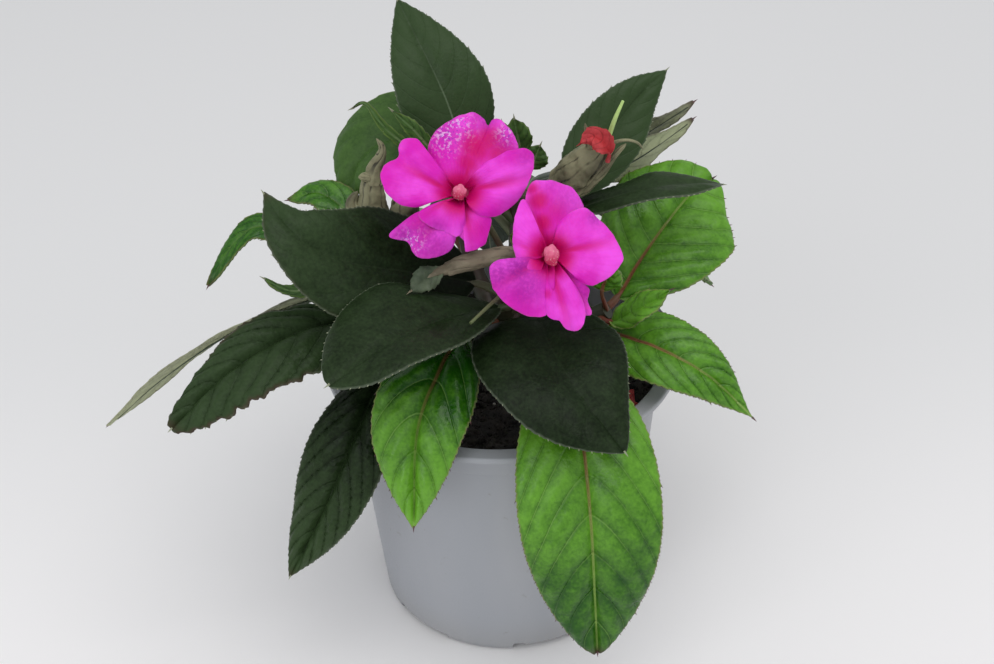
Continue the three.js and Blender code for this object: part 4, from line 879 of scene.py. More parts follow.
# Colours, as shares of red, green and blue light.
SCORCHED = (0.055, 0.032, 0.022)
PETAL_DEEP, PETAL_LIGHT = (0.72, 0.012, 0.48), (0.94, 0.085, 0.80)
PETAL_VEIN, PETAL_BLUSH = (0.58, 0.004, 0.26), (0.60, 0.0, 0.155)
# The dark violet here is painted shade, for petals that lie in shadow.
PETAL_RIM, PETAL_PAINTED_SHADE = (0.42, 0.12, 0.28), (0.34, 0.008, 0.30)
PETAL_SPECKLE, PETAL_INK = (0.80, 0.50, 0.80), (0.20, 0.03, 0.42)
KNOB_DEEP, KNOB_LIGHT, POLLEN = (0.50, 0.01, 0.08), (0.78, 0.16, 0.30), (0.85, 0.45, 0.50)
POT_DARK, POT_LIGHT = (0.345, 0.36, 0.39), (0.385, 0.395, 0.42)
POT_DUST, POT_SPECK = (0.33, 0.31, 0.28), (0.22, 0.2, 0.18)
SOIL_DARK, SOIL_LIGHT = (0.008, 0.007, 0.007), (0.028, 0.022, 0.018)
SOIL_FIBRE = (0.07, 0.05, 0.035)
FLECKS = 0.25  # how strongly pale flecks show on a leaf


def finish(name, paint, **constants):
    """A material whose colour, roughness and normal come from paint(nodes); what is the same all
    over is set on the shader's own sockets."""
    material = bpy.data.materials.new(name)
    material.use_nodes = True
    nodes = Nodes(material.node_tree)
    shader = material.node_tree.nodes["Principled BSDF"]
    for key, value in constants.items():
        shader.inputs[key.replace("_", " ")].default_value = value
    for key, value in paint(nodes).items():
        material.node_tree.links.new(value, shader.inputs[key])
    FINISHES[name] = material


def fact(nodes, name):
    return nodes("ShaderNodeAttribute", out=2, attribute_name=name)


def place_of(nodes):
    return nodes("ShaderNodeTexCoord", out=3)


def grain(nodes, scale, detail=3.0, stretch=None, distortion=0.0):
    """Soft noise from 0 to 1; scale is lumps to the metre."""
    where = place_of(nodes)
    if stretch:
        where = nodes("ShaderNodeVectorMath", {0: where, 1: stretch}, operation="MULTIPLY")
    return nodes("ShaderNodeTexNoise", {"Vector": where, "Scale": scale, "Detail": detail,
                                        "Distortion": distortion})


def spread(nodes, value, low, high, start=0.0, end=1.0):
    """Maps low..high smoothly to start..end."""
    return nodes("ShaderNodeMapRange", {"Value": value, "From Min": low, "From Max": high,
                                        "To Min": start, "To Max": end},
                 interpolation_type="SMOOTHSTEP")


def mixed(nodes, share, a, b):
    a, b = (c if isinstance(c, bpy.types.NodeSocket) else (*c, 1.0) for c in (a, b))
    return nodes("ShaderNodeMix", {0: share, 6: a, 7: b}, out=2, data_type="RGBA")


def bumped(nodes, height, strength, depth_mm):
    return nodes("ShaderNodeBump", {"Height": height, "Strength": strength,
                                    "Distance": depth_mm * MM})


def leaf_paint(flesh, bright, vein, rib, edge, vein_share=0.5, rib_mm=0.9, gloss=0.42,
               margin=0.5, contrast=0.6, puckers=0.8):
    """Blade of a leaf: flesh mottled between two greens, with painted light and shade where a
    leaf's tone changes from foot to tip, a painted highlight on the bulges between side veins and
    painted shade along them, side veins, the midrib, a thin margin, pale flecks, and brown where it
    is scorched."""
    def paint(nodes):
        broad, middling, fine = grain(nodes, 60, 4), grain(nodes, 260, 4), grain(nodes, 900, 5)
        tone = fact(nodes, "tone")
        for lump, share in ((broad, contrast), (middling, 0.8 * contrast), (fine, 0.6)):
            sway = nodes.maths("MULTIPLY", nodes.maths("SUBTRACT", lump, 0.5), share)
            tone = nodes.maths("ADD", tone, sway)
        apart = nodes.maths("PINGPONG", fact(nodes, "vein"), 0.5)
        veining = fact(nodes, "veining")
        # Painted highlight on the bulges between side veins, and painted shade along the veins.
        quilt_light_and_shade = spread(nodes, apart, 0.0, 0.3, -0.10, 0.08)
        tone = nodes.maths("ADD", tone, nodes.maths("MULTIPLY", quilt_light_and_shade, veining))
        colour = mixed(nodes, spread(nodes, tone, -0.1, 1.1), flesh, bright)
        beside = nodes.maths("MULTIPLY", spread(nodes, apart, 0.006, 0.035, vein_share, 0.0),
                             veining)
        colour = mixed(nodes, nodes.maths("MULTIPLY", beside, spread(nodes, broad, 0.3, 0.6)),
                       colour, vein)
        colour = mixed(nodes, spread(nodes, fact(nodes, "edge_mm"), 0.1, 0.7, margin, 0.0),
                       colour, edge)
        thin = nodes.maths("SUBTRACT", rib_mm,
                           nodes.maths("MULTIPLY", fact(nodes, "along"), 0.6 * rib_mm))
        share = nodes.maths("DIVIDE", fact(nodes, "rib_mm"), thin)
        shown = nodes.maths("MULTIPLY", spread(nodes, share, 0.5, 1.05, 1.0, 0.0),
                            fact(nodes, "ribbing"))
        rib_here = mixed(nodes, spread(nodes, fact(nodes, "along"), 0.2, 0.75, 0.0, 0.85), rib,
                         vein)
        colour = mixed(nodes, shown, colour, rib_here)
        specks = nodes("ShaderNodeTexNoise", {"Vector": place_of(nodes), "Scale": 520,
                                              "Detail": 5.0, "Roughness": 0.7})
        colour = mixed(nodes, spread(nodes, specks, 0.66, 0.78, 0.0, FLECKS), colour, edge)
        burnt = nodes.maths("MULTIPLY", fact(nodes, "blush"), spread(nodes, middling, 0.25, 0.5))
        colour = mixed(nodes, burnt, colour, SCORCHED)
        ribs = nodes.maths("MULTIPLY", spread(nodes, apart, 0.0, 0.08), veining)
        height = nodes.maths("ADD", nodes.maths("MULTIPLY", fine, 0.6), ribs)
        height = nodes.maths("ADD", height, nodes.maths("MULTIPLY", middling, puckers))
        return {
            "Base Color": colour,
            "Roughness": spread(nodes, broad, 0.3, 0.7, gloss - 0.08, gloss + 0.14),
            "Normal": bumped(nodes, height, 0.6, 0.4),
        }
    return paint


def plain_paint(colours, scale, roughness):
    """Two colours in soft noise, with matching roughness and bump."""
    def paint(nodes):
        lump = grain(nodes, scale, 4.0)
        return {
            "Base Color": mixed(nodes, spread(nodes, lump, 0.3, 0.7), *colours),
            "Roughness": spread(nodes, lump, 0.3, 0.7, roughness, roughness + 0.1),
            "Normal": bumped(nodes, lump, 0.3, 0.2),
        }
    return paint


def stalk_paint(stalk, flesh, rib_foot, rib_tip):
    """Stalk of a leaf, and the midrib that it runs on into, which sinks into the flesh's colour
    where the leaf shows little of it."""
    def paint(nodes):
        along = fact(nodes, "along")
        lump = grain(nodes, 70, 4)
        rib = mixed(nodes, spread(nodes, along, 0.05, 0.5), rib_foot, rib_tip)
        rib = mixed(nodes, fact(nodes, "ribbing"), flesh, rib)
        bare = mixed(nodes, spread(nodes, lump, 0.3, 0.7), *stalk)
        return {
            "Base Color": mixed(nodes, spread(nodes, along, 0.0, 0.05), bare, rib),
            "Roughness": spread(nodes, lump, 0.3, 0.7, 0.42, 0.55),
            "Normal": bumped(nodes, grain(nodes, 900, 3), 0.3, 0.15),
        }
    return paint


def petal_paint(nodes):
    """Magenta, crimson where it blushes, with fine radial veins, violet patches of painted shade
    where a petal lies under another or in shadow, a thin tired rim and pale speckles where the tone
    says so."""
    patch, fine = grain(nodes, 75, 4), grain(nodes, 1000, 4)
    colour = mixed(nodes, spread(nodes, patch, 0.32, 0.68), PETAL_DEEP, PETAL_LIGHT)
    apart = nodes.maths("PINGPONG", fact(nodes, "vein"), 0.5)
    lines = nodes.maths("MULTIPLY", spread(nodes, apart, 0.02, 0.2, 0.12, 0.0), fine)
    colour = mixed(nodes, lines, colour, PETAL_VEIN)
    tint = nodes.maths("ADD", fact(nodes, "blush"),
                       nodes.maths("MULTIPLY", nodes.maths("SUBTRACT", patch, 0.5), 0.4))
    colour = mixed(nodes, spread(nodes, tint, 0.1, 1.0), colour, PETAL_BLUSH)
    broken = spread(nodes, fine, 0.38, 0.6)
    rim = spread(nodes, fact(nodes, "edge_mm"), 0.05, 0.5, 0.55, 0.0)
    colour = mixed(nodes, nodes.maths("MULTIPLY", rim, broken), colour, PETAL_RIM)
    # Painted shade: dark violet where a petal lies under another or in shadow.
    shade = nodes.maths("MULTIPLY", fact(nodes, "violet"), spread(nodes, fine, 0.3, 0.6, 0.55, 0.9))
    colour = mixed(nodes, shade, colour, PETAL_PAINTED_SHADE)
    speck = nodes("ShaderNodeTexNoise", {"Vector": place_of(nodes), "Scale": 900,
                                         "Detail": 3.0})
    pale = nodes.maths("MULTIPLY", spread(nodes, speck, 0.5, 0.62), fact(nodes, "tone"))
    colour = mixed(nodes, pale, colour, PETAL_SPECKLE)
    dot = nodes("ShaderNodeTexNoise", {"Vector": place_of(nodes), "Scale": 1500, "Detail": 1.0})
    ink = nodes.maths("MULTIPLY", spread(nodes, dot, 0.58, 0.66), fact(nodes, "tone"))
    colour = mixed(nodes, ink, colour, PETAL_INK)
    return {
        "Base Color": colour,
        "Roughness": spread(nodes, fine, 0.3, 0.7, 0.5, 0.66),
        "Normal": bumped(nodes, nodes.maths("ADD", fine, spread(nodes, apart, 0.0, 0.25)), 0.3,
                         0.1),
    }


def pot_paint(nodes):
    """Moulded plastic: fine matt grain, faint flow marks, and dust at the foot."""
    where = place_of(nodes)
    height = nodes("ShaderNodeSeparateXYZ", {0: where}, out=2)
    broad, fine = grain(nodes, 14), grain(nodes, 1500, 5)
    flow = grain(nodes, 30, 3, (1.0, 1.0, 0.15))
    colour = mixed(nodes, spread(nodes, flow, 0.3, 0.7), POT_DARK, POT_LIGHT)
    dust = nodes.maths("MULTIPLY", spread(nodes, height, 0.0, 0.02, 0.5, 0.0), broad)
    colour = mixed(nodes, dust, colour, POT_DUST)
    speck = grain(nodes, 260, 6)
    colour = mixed(nodes, spread(nodes, speck, 0.66, 0.76, 0.0, 0.4), colour, POT_SPECK)
    return {
        "Base Color": colour,
        "Roughness": spread(nodes, fine, 0.3, 0.7, 0.46, 0.6),
        "Normal": bumped(nodes, fine, 0.2, 0.08),
    }


def soil_paint(nodes):
    broad, fine = grain(nodes, 180, 5), grain(nodes, 1400, 5)
    colour = mixed(nodes, spread(nodes, broad, 0.3, 0.7), SOIL_DARK, SOIL_LIGHT)
    colour = mixed(nodes, spread(nodes, fine, 0.6, 0.75, 0.0, 0.6), colour, SOIL_FIBRE)
    return {
        "Base Color": colour,
        "Roughness": spread(nodes, fine, 0.3, 0.7, 0.75, 0.95),
        "Normal": bumped(nodes, fine, 0.6, 0.5),
    }


def papery_paint(dark, light, lines=0.7, roughness=0.6, lump=130):
    """Dried tissue: two browns, dark veins along its folds, and a crumpled bump."""
    def paint(nodes):
        broad, fine = grain(nodes, lump, 5, distortion=0.6), grain(nodes, 900, 5)
        colour = mixed(nodes, spread(nodes, broad, 0.3, 0.65), dark, light)
        apart = nodes.maths("PINGPONG", fact(nodes, "vein"), 0.5)
        drawn = nodes.maths("MULTIPLY", spread(nodes, apart, 0.03, 0.13, lines, 0.0),
                            spread(nodes, grain(nodes, 160, 2), 0.35, 0.6))
        colour = mixed(nodes, drawn, colour, tuple(c * 0.2 for c in dark))
        height = nodes.maths("ADD", fine, nodes.maths("MULTIPLY", broad, 2.0))
        return {
            "Base Color": colour,
            "Roughness": spread(nodes, fine, 0.3, 0.7, roughness, roughness + 0.2),
            "Normal": bumped(nodes, height, 0.5, 0.4),
        }
    return paint


finish("leaf_dark", leaf_paint((0.002, 0.006, 0.001), (0.036, 0.066, 0.024), (0.03, 0.05, 0.022),
                               (0.16, 0.22, 0.13), (0.14, 0.17, 0.12), vein_share=0.12,
                               rib_mm=0.5, gloss=0.38, margin=0.4, contrast=0.5),
       Specular_IOR_Level=0.12)
finish("leaf_dark_under", leaf_paint((0.03, 0.045, 0.03), (0.06, 0.08, 0.05), (0.09, 0.10, 0.06),
                                     (0.13, 0.10, 0.07), (0.1, 0.12, 0.08), gloss=0.55),
       Specular_IOR_Level=0.3)
finish("leaf_middle", leaf_paint((0.012, 0.038, 0.008), (0.07, 0.15, 0.030), (0.08, 0.17, 0.05),
                                 (0.16, 0.2, 0.09), (0.16, 0.24, 0.05), gloss=0.45, rib_mm=0.7,
                                 vein_share=0.2),
       Specular_IOR_Level=0.2)
finish("leaf_bright", leaf_paint((0.008, 0.070, 0.0005), (0.140, 0.37, 0.026), (0.24, 0.42, 0.10),
                                 (0.27, 0.12, 0.06), (0.26, 0.24, 0.09), gloss=0.30, rib_mm=0.9,
                                 vein_share=0.35, contrast=0.8, puckers=1.6),
       Specular_IOR_Level=0.32)
finish("leaf_bright_under", leaf_paint((0.08, 0.16, 0.05), (0.14, 0.25, 0.08), (0.2, 0.3, 0.13),
                                       (0.3, 0.2, 0.12), (0.15, 0.25, 0.1), gloss=0.55),
       Specular_IOR_Level=0.3)
finish("leaf_pale", leaf_paint((0.17, 0.18, 0.12), (0.46, 0.50, 0.30), (0.30, 0.34, 0.2),
                               (0.3, 0.3, 0.18), (0.1, 0.09, 0.06), gloss=0.5),
       Specular_IOR_Level=0.3)
finish("dark_stalk", stalk_paint(((0.05, 0.08, 0.03), (0.08, 0.07, 0.035)), (0.012, 0.024, 0.010),
                                 (0.17, 0.22, 0.13), (0.14, 0.20, 0.11)))
finish("middle_stalk", stalk_paint(((0.14, 0.17, 0.09), (0.2, 0.19, 0.11)), (0.03, 0.075, 0.016),
                                   (0.24, 0.26, 0.15), (0.02, 0.018, 0.015)))
finish("bright_stalk", stalk_paint(((0.20, 0.03, 0.02), (0.13, 0.07, 0.03)), (0.06, 0.17, 0.02),
                                   (0.26, 0.10, 0.06), (0.20, 0.27, 0.09)))
finish("stem_skin", plain_paint(((0.025, 0.035, 0.015), (0.04, 0.018, 0.012)), 90, 0.4))
finish("spine_pale", plain_paint(((0.30, 0.33, 0.22), (0.2, 0.2, 0.12)), 300, 0.5))
finish("spine_dark", plain_paint(((0.06, 0.02, 0.03), (0.12, 0.05, 0.05)), 300, 0.5))
finish("petal", petal_paint, Subsurface_Weight=0.12, Subsurface_Scale=0.002,
       Specular_IOR_Level=0.2)
finish("throat", plain_paint(((0.45, 0.0, 0.10), (0.3, 0.0, 0.06)), 400, 0.5))
finish("bloom_stalk", plain_paint(((0.12, 0.15, 0.06), (0.10, 0.06, 0.035)), 80, 0.4))
finish("faded_stalk", plain_paint(((0.50, 0.72, 0.22), (0.40, 0.55, 0.2)), 120, 0.45))
finish("pot", pot_paint)
finish("soil", soil_paint)
finish("perlite", plain_paint(((0.5, 0.48, 0.44), (0.35, 0.32, 0.28)), 900, 0.85))
finish("dried", papery_paint((0.10, 0.07, 0.04), (0.28, 0.21, 0.12)))
finish("husk", papery_paint((0.06, 0.055, 0.028), (0.27, 0.26, 0.15), 0.9, lump=60))
finish("rolled_skin", papery_paint((0.09, 0.075, 0.045), (0.26, 0.22, 0.15), 0.5, lump=90))
finish("rolled_blade", papery_paint((0.03, 0.05, 0.025), (0.075, 0.10, 0.055), 0.3))
finish("faded_petal", papery_paint((0.38, 0.015, 0.02), (0.66, 0.07, 0.08), 0.4, 0.5))

LEAF_KINDS = {
    "dark": {"upper": "leaf_dark", "lower": "leaf_dark_under", "stalk": "dark_stalk",
             "spine": "spine_pale",
             "shape": {"quilt": 0.45, "tooth_gap": 2.8, "tooth": 1.0, "ridge": 0.3}},
    "middle": {"upper": "leaf_middle", "lower": "leaf_dark_under", "stalk": "middle_stalk",
               "spine": "spine_pale", "shape": {"ridge": 0.5}},
    "bright": {"upper": "leaf_bright", "lower": "leaf_bright_under", "stalk": "bright_stalk",
               "spine": "spine_dark",
               "shape": {"quilt": 0.9, "tooth_gap": 3.0, "tooth": 1.2, "puckers": 0.36}},
    "pale": {"upper": "leaf_pale", "lower": "leaf_pale", "stalk": "dark_stalk",
             "spine": "spine_dark", "shape": {"ridge": 0.4, "tooth": 0.6}},
    "dried": {"upper": "dried", "lower": "dried", "stalk": "dried", "spine": "dried",
              "husk": "husk", "shape": {}},
    "rolled": {"upper": "rolled_blade", "lower": "rolled_blade", "stalk": "rolled_skin",
               "spine": "rolled_skin", "husk": "rolled_skin",
               "shape": {"belly": 1}},
    "faded petal": {"upper": "faded_petal", "lower": "faded_petal", "stalk": "faded_petal",
                    "spine": "faded_petal", "shape": {"wilt": 0.8}},
}
TUBES_AND_SPINES = plant_tree()

# Leaves, small leaves and stems

for order, (name, colour, width, rib, faces, extras) in enumerate(LEAVES):
    blade = {"width": width, "rib": rib, "faces": faces, **extras}
    leaf_piece(name, colour, [blade], 31 * order + 5)

for order, (name, colour, fold, blades) in enumerate(CLUSTERS):
    small = [{"width": width, "rib": rib, "faces": faces, "fold": fold, **YOUNG_LEAF}
             for width, rib, faces in blades]
    leaf_piece(name, colour, small, 17 * order + 903)

STEM_SIDES, STEM_PLACES = 20, 60
JOINTS, JOINT_SWELLING, JOINT_SHARE = 4, 0.35, 0.1  # a stem's swollen joints

stems = Shape()
shares = np.linspace(0, 1, STEM_PLACES)
for points, radii in STEMS:
    girths = np.interp(shares, np.linspace(0, 1, len(radii)), radii)
    beside = (np.linspace(0, JOINTS, STEM_PLACES) % 1 - 0.5) / JOINT_SHARE
    stems.add_path(Curve(points).places(shares), girths + JOINT_SWELLING * np.exp(-beside**2),
                   along=shares)
plain_tubes("fleshy_stems", stems, "stem_skin", ["stems"], STEM_SIDES)


# Blooms

def bloom_place(bloom):
    """Turns places in a bloom's own frame into places on the plant."""
    z = unit(np.array(bloom["face"], float))
    x = unit(np.cross([0, 0, 1], z))
    axes = np.stack([x, np.cross(z, x), z])
    return lambda p: np.asarray(p, float) @ axes + np.array(bloom["centre"], float)


PETAL_COLUMNS, PETAL_ROWS = 90, 40
PETAL_THICKNESS = 0.3
PETAL_VEINS, VEIN_RELIEF = 26, 0.03
EDGE_NIBBLE, NIBBLE_SIZE = 0.35, 2.2
LAYER_SHARE = 0.3  # of a petal's length, over which it rises to its layer
DOME, EDGE_DROP = 2.6, 2.6
CREASE_DEPTH, CREASE_WIDTH, CREASE_BEND, CREASE_BEND_LENGTH = 1.8, 2.0, 0.6, 7
RUFFLES_ROUND = 2.6
FUNNEL_DEPTH, FUNNEL_RADIUS = 2.6, 3.0
BROAD_WAVE, SMALL_WAVE, SMALL_WAVE_RISE = 8, 3.2, 0.35
THROAT_RADIUS, THROAT_FADE = 3.6, 5.2
STREAK_WIDTH, STREAK_SPREAD, STREAK_STRENGTH = 1.0, 0.08, 0.9


def spots_at(flat, spots):
    """How strongly soft round spots colour each place, from 0 to 1."""
    total = np.zeros(flat.shape[:-1])
    for x, y, radius, strength in spots:
        gap = np.hypot(flat[..., 0] - x, flat[..., 1] - y) / radius
        total = np.maximum(total, strength * np.exp(-gap**2))
    return total


def add_petal(shape, put, petal, seed):
    """A petal as a fan from a short root by the throat out to its outline."""
    _, layer, crease_way, crease_depth, ruffle, outline, spots = petal
    t = np.linspace(0, 1, PETAL_COLUMNS + 1)
    edge = Curve([(x, y, 0) for x, y in outline]).places(t)[:, :2]
    outline = np.array(outline, float)
    root = outline[0] + (outline[-1] - outline[0]) * t[:, None]
    nibbled = lumps(np.dstack([edge[None], t[None] * 0]), NIBBLE_SIZE, seed)[0]
    edge = edge + unit(edge - root) * (EDGE_NIBBLE * nibbled * np.sin(np.pi * t))[:, None]
    r = np.sin(np.linspace(0, 1, PETAL_ROWS + 1) * np.pi / 2) ** 0.9
    rr, tt = np.meshgrid(r, t, indexing="ij")
    flat = root + (edge - root) * rr[..., None]
    reach = np.linalg.norm(edge - root, axis=1)[None, :]
    away = np.linalg.norm(flat, axis=2)
    way = math.radians(crease_way)
    bend = CREASE_BEND * np.sin(away / CREASE_BEND_LENGTH + seed)
    crease = np.abs(flat[..., 1] * math.cos(way) - flat[..., 0] * math.sin(way) + bend)
    behind = flat[..., 0] * math.cos(way) + flat[..., 1] * math.sin(way) < 0
    crease = np.where(behind, crease + 3, crease)
    height = layer * np.clip(rr / LAYER_SHARE, 0, 1)
    height = height + DOME * np.sin(np.pi * rr * 0.62) - EDGE_DROP * rr**3
    sunk = CREASE_DEPTH * crease_depth * np.exp(-(crease / CREASE_WIDTH) ** 2)
    height -= sunk * np.sqrt(rr) * (1 - 0.7 * rr)
    height += ruffle * rr**2 * np.sin(2 * np.pi * (RUFFLES_ROUND * tt + 0.37 * seed))
    height -= FUNNEL_DEPTH * np.exp(-(away / FUNNEL_RADIUS) ** 2)
    places = np.dstack([flat, height])
    height += lumps(places, BROAD_WAVE, seed) * rr
    height += lumps(places, SMALL_WAVE, seed + 5) * SMALL_WAVE_RISE * rr
    height += VEIN_RELIEF * np.sin(2 * np.pi * PETAL_VEINS * tt) * rr * (1 - rr) * 4
    places[..., 2] = height
    up = put([0, 0, 1]) - put([0, 0, 0])
    throat = np.exp(-(np.maximum(away - THROAT_RADIUS, 0) / THROAT_FADE) ** 2)
    broken = 1 + 0.35 * lumps(places, 4, seed + 8)
    streak = np.exp(-(crease / ((STREAK_WIDTH + STREAK_SPREAD * away) * broken)) ** 2)
    streak = streak * np.clip(1.3 - rr, 0, 1) * STREAK_STRENGTH
    blush = np.maximum(np.maximum(throat, streak), spots_at(flat, spots.get("blush", ())))
    if np.cross(edge[10] - edge[0], edge[-10] - edge[0]) > 0:
        up = -up
    place = put(places)
    # Its violet spots are painted shade where the petal lies under another or in shadow.
    add_sheet(shape, place, np.broadcast_to(up, place.shape), PETAL_THICKNESS, 0, 0,
              rib_mm=away, vein=tt * PETAL_VEINS + 0.7 * lumps(places, 9, seed + 2),
              edge_mm=(1 - rr) * reach, along=rr, tone=spots_at(flat, spots.get("speckle", ())),
              blush=blush, violet=spots_at(flat, spots.get("violet", ())))


KNOB_SIDES, KNOB_RINGS = 60, 36
KNOB_HALF_DEPTH, KNOB_STANDS_OUT = 2.2, 3.0
COLUMN_FOOT, COLUMN_PLACES = -2.5, 12


def anther_knob(bloom, put):
    """The knob of joined anthers on its short column: lobed, and paler on top."""
    wide, tall = bloom["knob"]
    front = max(petal[1] for petal in bloom["petals"]) + KNOB_STANDS_OUT
    turn, down = np.meshgrid(np.linspace(0, 2 * np.pi, KNOB_SIDES, endpoint=False),
                             np.linspace(0.03, np.pi - 0.03, KNOB_RINGS))
    lobes = 1 + 0.16 * np.abs(np.cos(2.5 * turn)) * np.sin(down) ** 2 - 0.08
    points = np.dstack([np.sin(down) * np.cos(turn) * wide / 2 * lobes,
                        np.sin(down) * np.sin(turn) * tall / 2 * lobes,
                        np.cos(down) * KNOB_HALF_DEPTH])
    grains = lumps(points, 1.5, 3) * 0.3 + lumps(points, 0.7, 9) * 0.12
    points += grains[..., None] * unit(points)
    points[..., 2] += front
    shape = Shape()
    shape.add(put(points.reshape(-1, 3)), [ring_walls(KNOB_RINGS, KNOB_SIDES)], 0,
              along=(points[..., 1] / tall + 0.5).ravel())
    ring = np.arange(KNOB_SIDES)
    shape.faces += [ring.tolist(), (ring + (KNOB_RINGS - 1) * KNOB_SIDES)[::-1].tolist()]
    shape.finish += [0, 0]
    column = put([[0, 0, z] for z in np.linspace(COLUMN_FOOT, front, COLUMN_PLACES)])
    shape.add_path(column, np.linspace(1.5, 1.0, COLUMN_PLACES), along=0.6)
    return shape


def knob_paint(nodes):
    fine, broad = grain(nodes, 1500, 4), grain(nodes, 500, 2)
    rise = nodes.maths("ADD", fact(nodes, "along"), nodes.maths("MULTIPLY", broad, 0.8))
    colour = mixed(nodes, spread(nodes, rise, 0.5, 1.3), KNOB_DEEP, KNOB_LIGHT)
    return {
        "Base Color": mixed(nodes, spread(nodes, fine, 0.55, 0.7, 0.0, 0.5), colour, POLLEN),
        "Roughness": spread(nodes, fine, 0.3, 0.7, 0.6, 0.8),
        "Normal": bumped(nodes, fine, 0.6, 0.4),
    }


finish("anthers", knob_paint)
BLOOM_TUBE_SIDES, KNOB_TUBE_SIDES, STALK_SIDES, SPUR_SIDES = 20, 16, 14, 12
THROAT_FROM, THROAT_TO, THROAT_RADII = -3.4, -0.6, (1.6, 2.9)
STALK_RADII, SPUR_RADII = (1.3, 1.1, 1.2), (1.1, 0.75, 0.5)


def add_tube(shape, points, radii, count):
    """A tube along a curve, with radii given at even shares of its length."""
    s = np.linspace(0, 1, count)
    shape.add_path(Curve(points).places(s), np.interp(s, np.linspace(0, 1, len(radii)), radii))


for number, (name, bloom) in enumerate(BLOOMS.items()):
    put = bloom_place(bloom)
    petals = Shape()
    for k, petal in enumerate(bloom["petals"]):
        add_petal(petals, put, petal, 1 + k + 20 * number)
    throat = put(np.array([[0, 0, z] for z in np.linspace(THROAT_FROM, THROAT_TO, 10)]))
    petals.add_path(throat, np.linspace(*THROAT_RADII, 10))
    grown_piece(name + "_corolla", petals, [FINISHES["petal"]], FINISHES["throat"],
                FINISHES["throat"], [name + "_petals"], BLOOM_TUBE_SIDES)
    plain_tubes(name + "_anthers", anther_knob(bloom, put), "anthers", [name + "_eye"],
                KNOB_TUBE_SIDES)
    stalk = Shape()
    add_tube(stalk, bloom["stalk"], STALK_RADII, 44)
    add_tube(stalk, bloom["spur"], SPUR_RADII, 44)
    plain_tubes(name + "_stem_and_spur", stalk, "bloom_stalk", [name + "_stalk"], STALK_SIDES)

spur = Shape()
add_tube(spur, *FADED_SPUR, 30)
plain_tubes("faded_spur", spur, "faded_stalk", ["faded_bloom_spur"], SPUR_SIDES)


# Pot

def lathe_tree():
    """Turns a profile round +Z into a closed skin."""
    tree, nodes, given = geometry_tree("turned_pot", [("Sides", "Int"), ("Finish", "Material")])
    profile = given["Mesh"]
    count = nodes("GeometryNodeAttributeDomainSize", {"Geometry": profile}, component="MESH")
    index = nodes("GeometryNodeInputIndex")
    sides = nodes.maths("ADD", given["Sides"], 1.0)
    skin = nodes("GeometryNodeMeshGrid", {"Size X": 1.0, "Size Y": 1.0, "Vertices X": sides,
                                          "Vertices Y": count})
    ring = nodes.maths("FLOOR", nodes.maths("DIVIDE", index, count))
    along = nodes.maths("FLOORED_MODULO", index, count)
    spot = nodes("GeometryNodeSampleIndex", {
        "Geometry": profile, "Value": nodes("GeometryNodeInputPosition"), "Index": along,
    }, data_type="FLOAT_VECTOR", domain="POINT")
    turn = nodes.maths("DIVIDE", nodes.maths("MULTIPLY", ring, 2 * math.pi), given["Sides"])
    turned = nodes("ShaderNodeVectorRotate", {"Vector": spot, "Angle": turn},
                   rotation_type="Z_AXIS")
    skin = nodes("GeometryNodeSetPosition", {"Geometry": skin, "Position": turned})
    skin = nodes("GeometryNodeMergeByDistance", {"Geometry": skin, "Distance": 1e-6})
    skin = nodes("GeometryNodeRealizeInstances", {"Geometry": skin})
    end_tree(tree, nodes("GeometryNodeSetMaterial", {"Geometry": skin,
                                                     "Material": given["Finish"]}))
    return tree


def rounded(corners):
    """A profile of straight runs with each corner rounded by its own radius."""
    points = []
    for k, (x, z, radius) in enumerate(corners):
        spot = np.array([x, z], float)
        if not radius or k in (0, len(corners) - 1):
            points.append(spot)
            continue
        back = np.array(corners[k - 1][:2], float) - spot
        on = np.array(corners[k + 1][:2], float) - spot
        a, b = spot + unit(back) * radius, spot + unit(on) * radius
        for w in np.linspace(0, 1, CORNER_PLACES):
            points.append(a * (1 - w) ** 2 + 2 * spot * w * (1 - w) + b * w**2)
    return np.array(points)


def loose_mesh(name, points, edges=(), faces=()):
    mesh = bpy.data.meshes.new(name)
    mesh.from_pydata((np.asarray(points) * MM).tolist(), list(edges), list(faces))
    return mesh


def prism(outline, low, high):
    """Points and faces of an upright prism on an anticlockwise outline."""
    count = len(outline)
    points = [(x, y, z) for z in (low, high) for x, y in outline]
    walls = [(k, (k + 1) % count, (k + 1) % count + count, k + count) for k in range(count)]
    return points, [tuple(range(count))[::-1], tuple(range(count, 2 * count)), *walls]


def cut(thing, solids, name):
    """Takes prisms out of a thing."""
    points, faces = [], []
    for spots, sides in solids:
        faces += [tuple(k + len(points) for k in side) for side in sides]
        points += spots
    cutter = bpy.data.objects.new(name, loose_mesh(name, points, faces=faces))
    bpy.context.scene.collection.objects.link(cutter)
    modifier = thing.modifiers.new(name, "BOOLEAN")
    modifier.object, modifier.solver = cutter, "MANIFOLD"
    bpy.context.view_layer.update()
    evaluated = thing.evaluated_get(bpy.context.evaluated_depsgraph_get())
    mesh = bpy.data.meshes.new_from_object(evaluated)
    thing.modifiers.clear()
    thing.data = mesh
    bpy.data.objects.remove(cutter)


def ring_spot(degrees, radius):
    """A place on a ring; degrees run to the right of the front."""
    turn = math.radians(degrees - 90)
    return radius * math.cos(turn), radius * math.sin(turn)


collar_foot = POT_HEIGHT - COLLAR_HEIGHT
collar = RIM_RADIUS - LIP_OVERHANG
wall_top = collar - COLLAR_DRAFT - COLLAR_STEP
lip_foot, bead_foot = POT_HEIGHT - LIP_THICKNESS, POT_HEIGHT - BEAD_HEIGHT


def wall_at(z):
    return BASE_RADIUS + (wall_top - BASE_RADIUS) * z / collar_foot


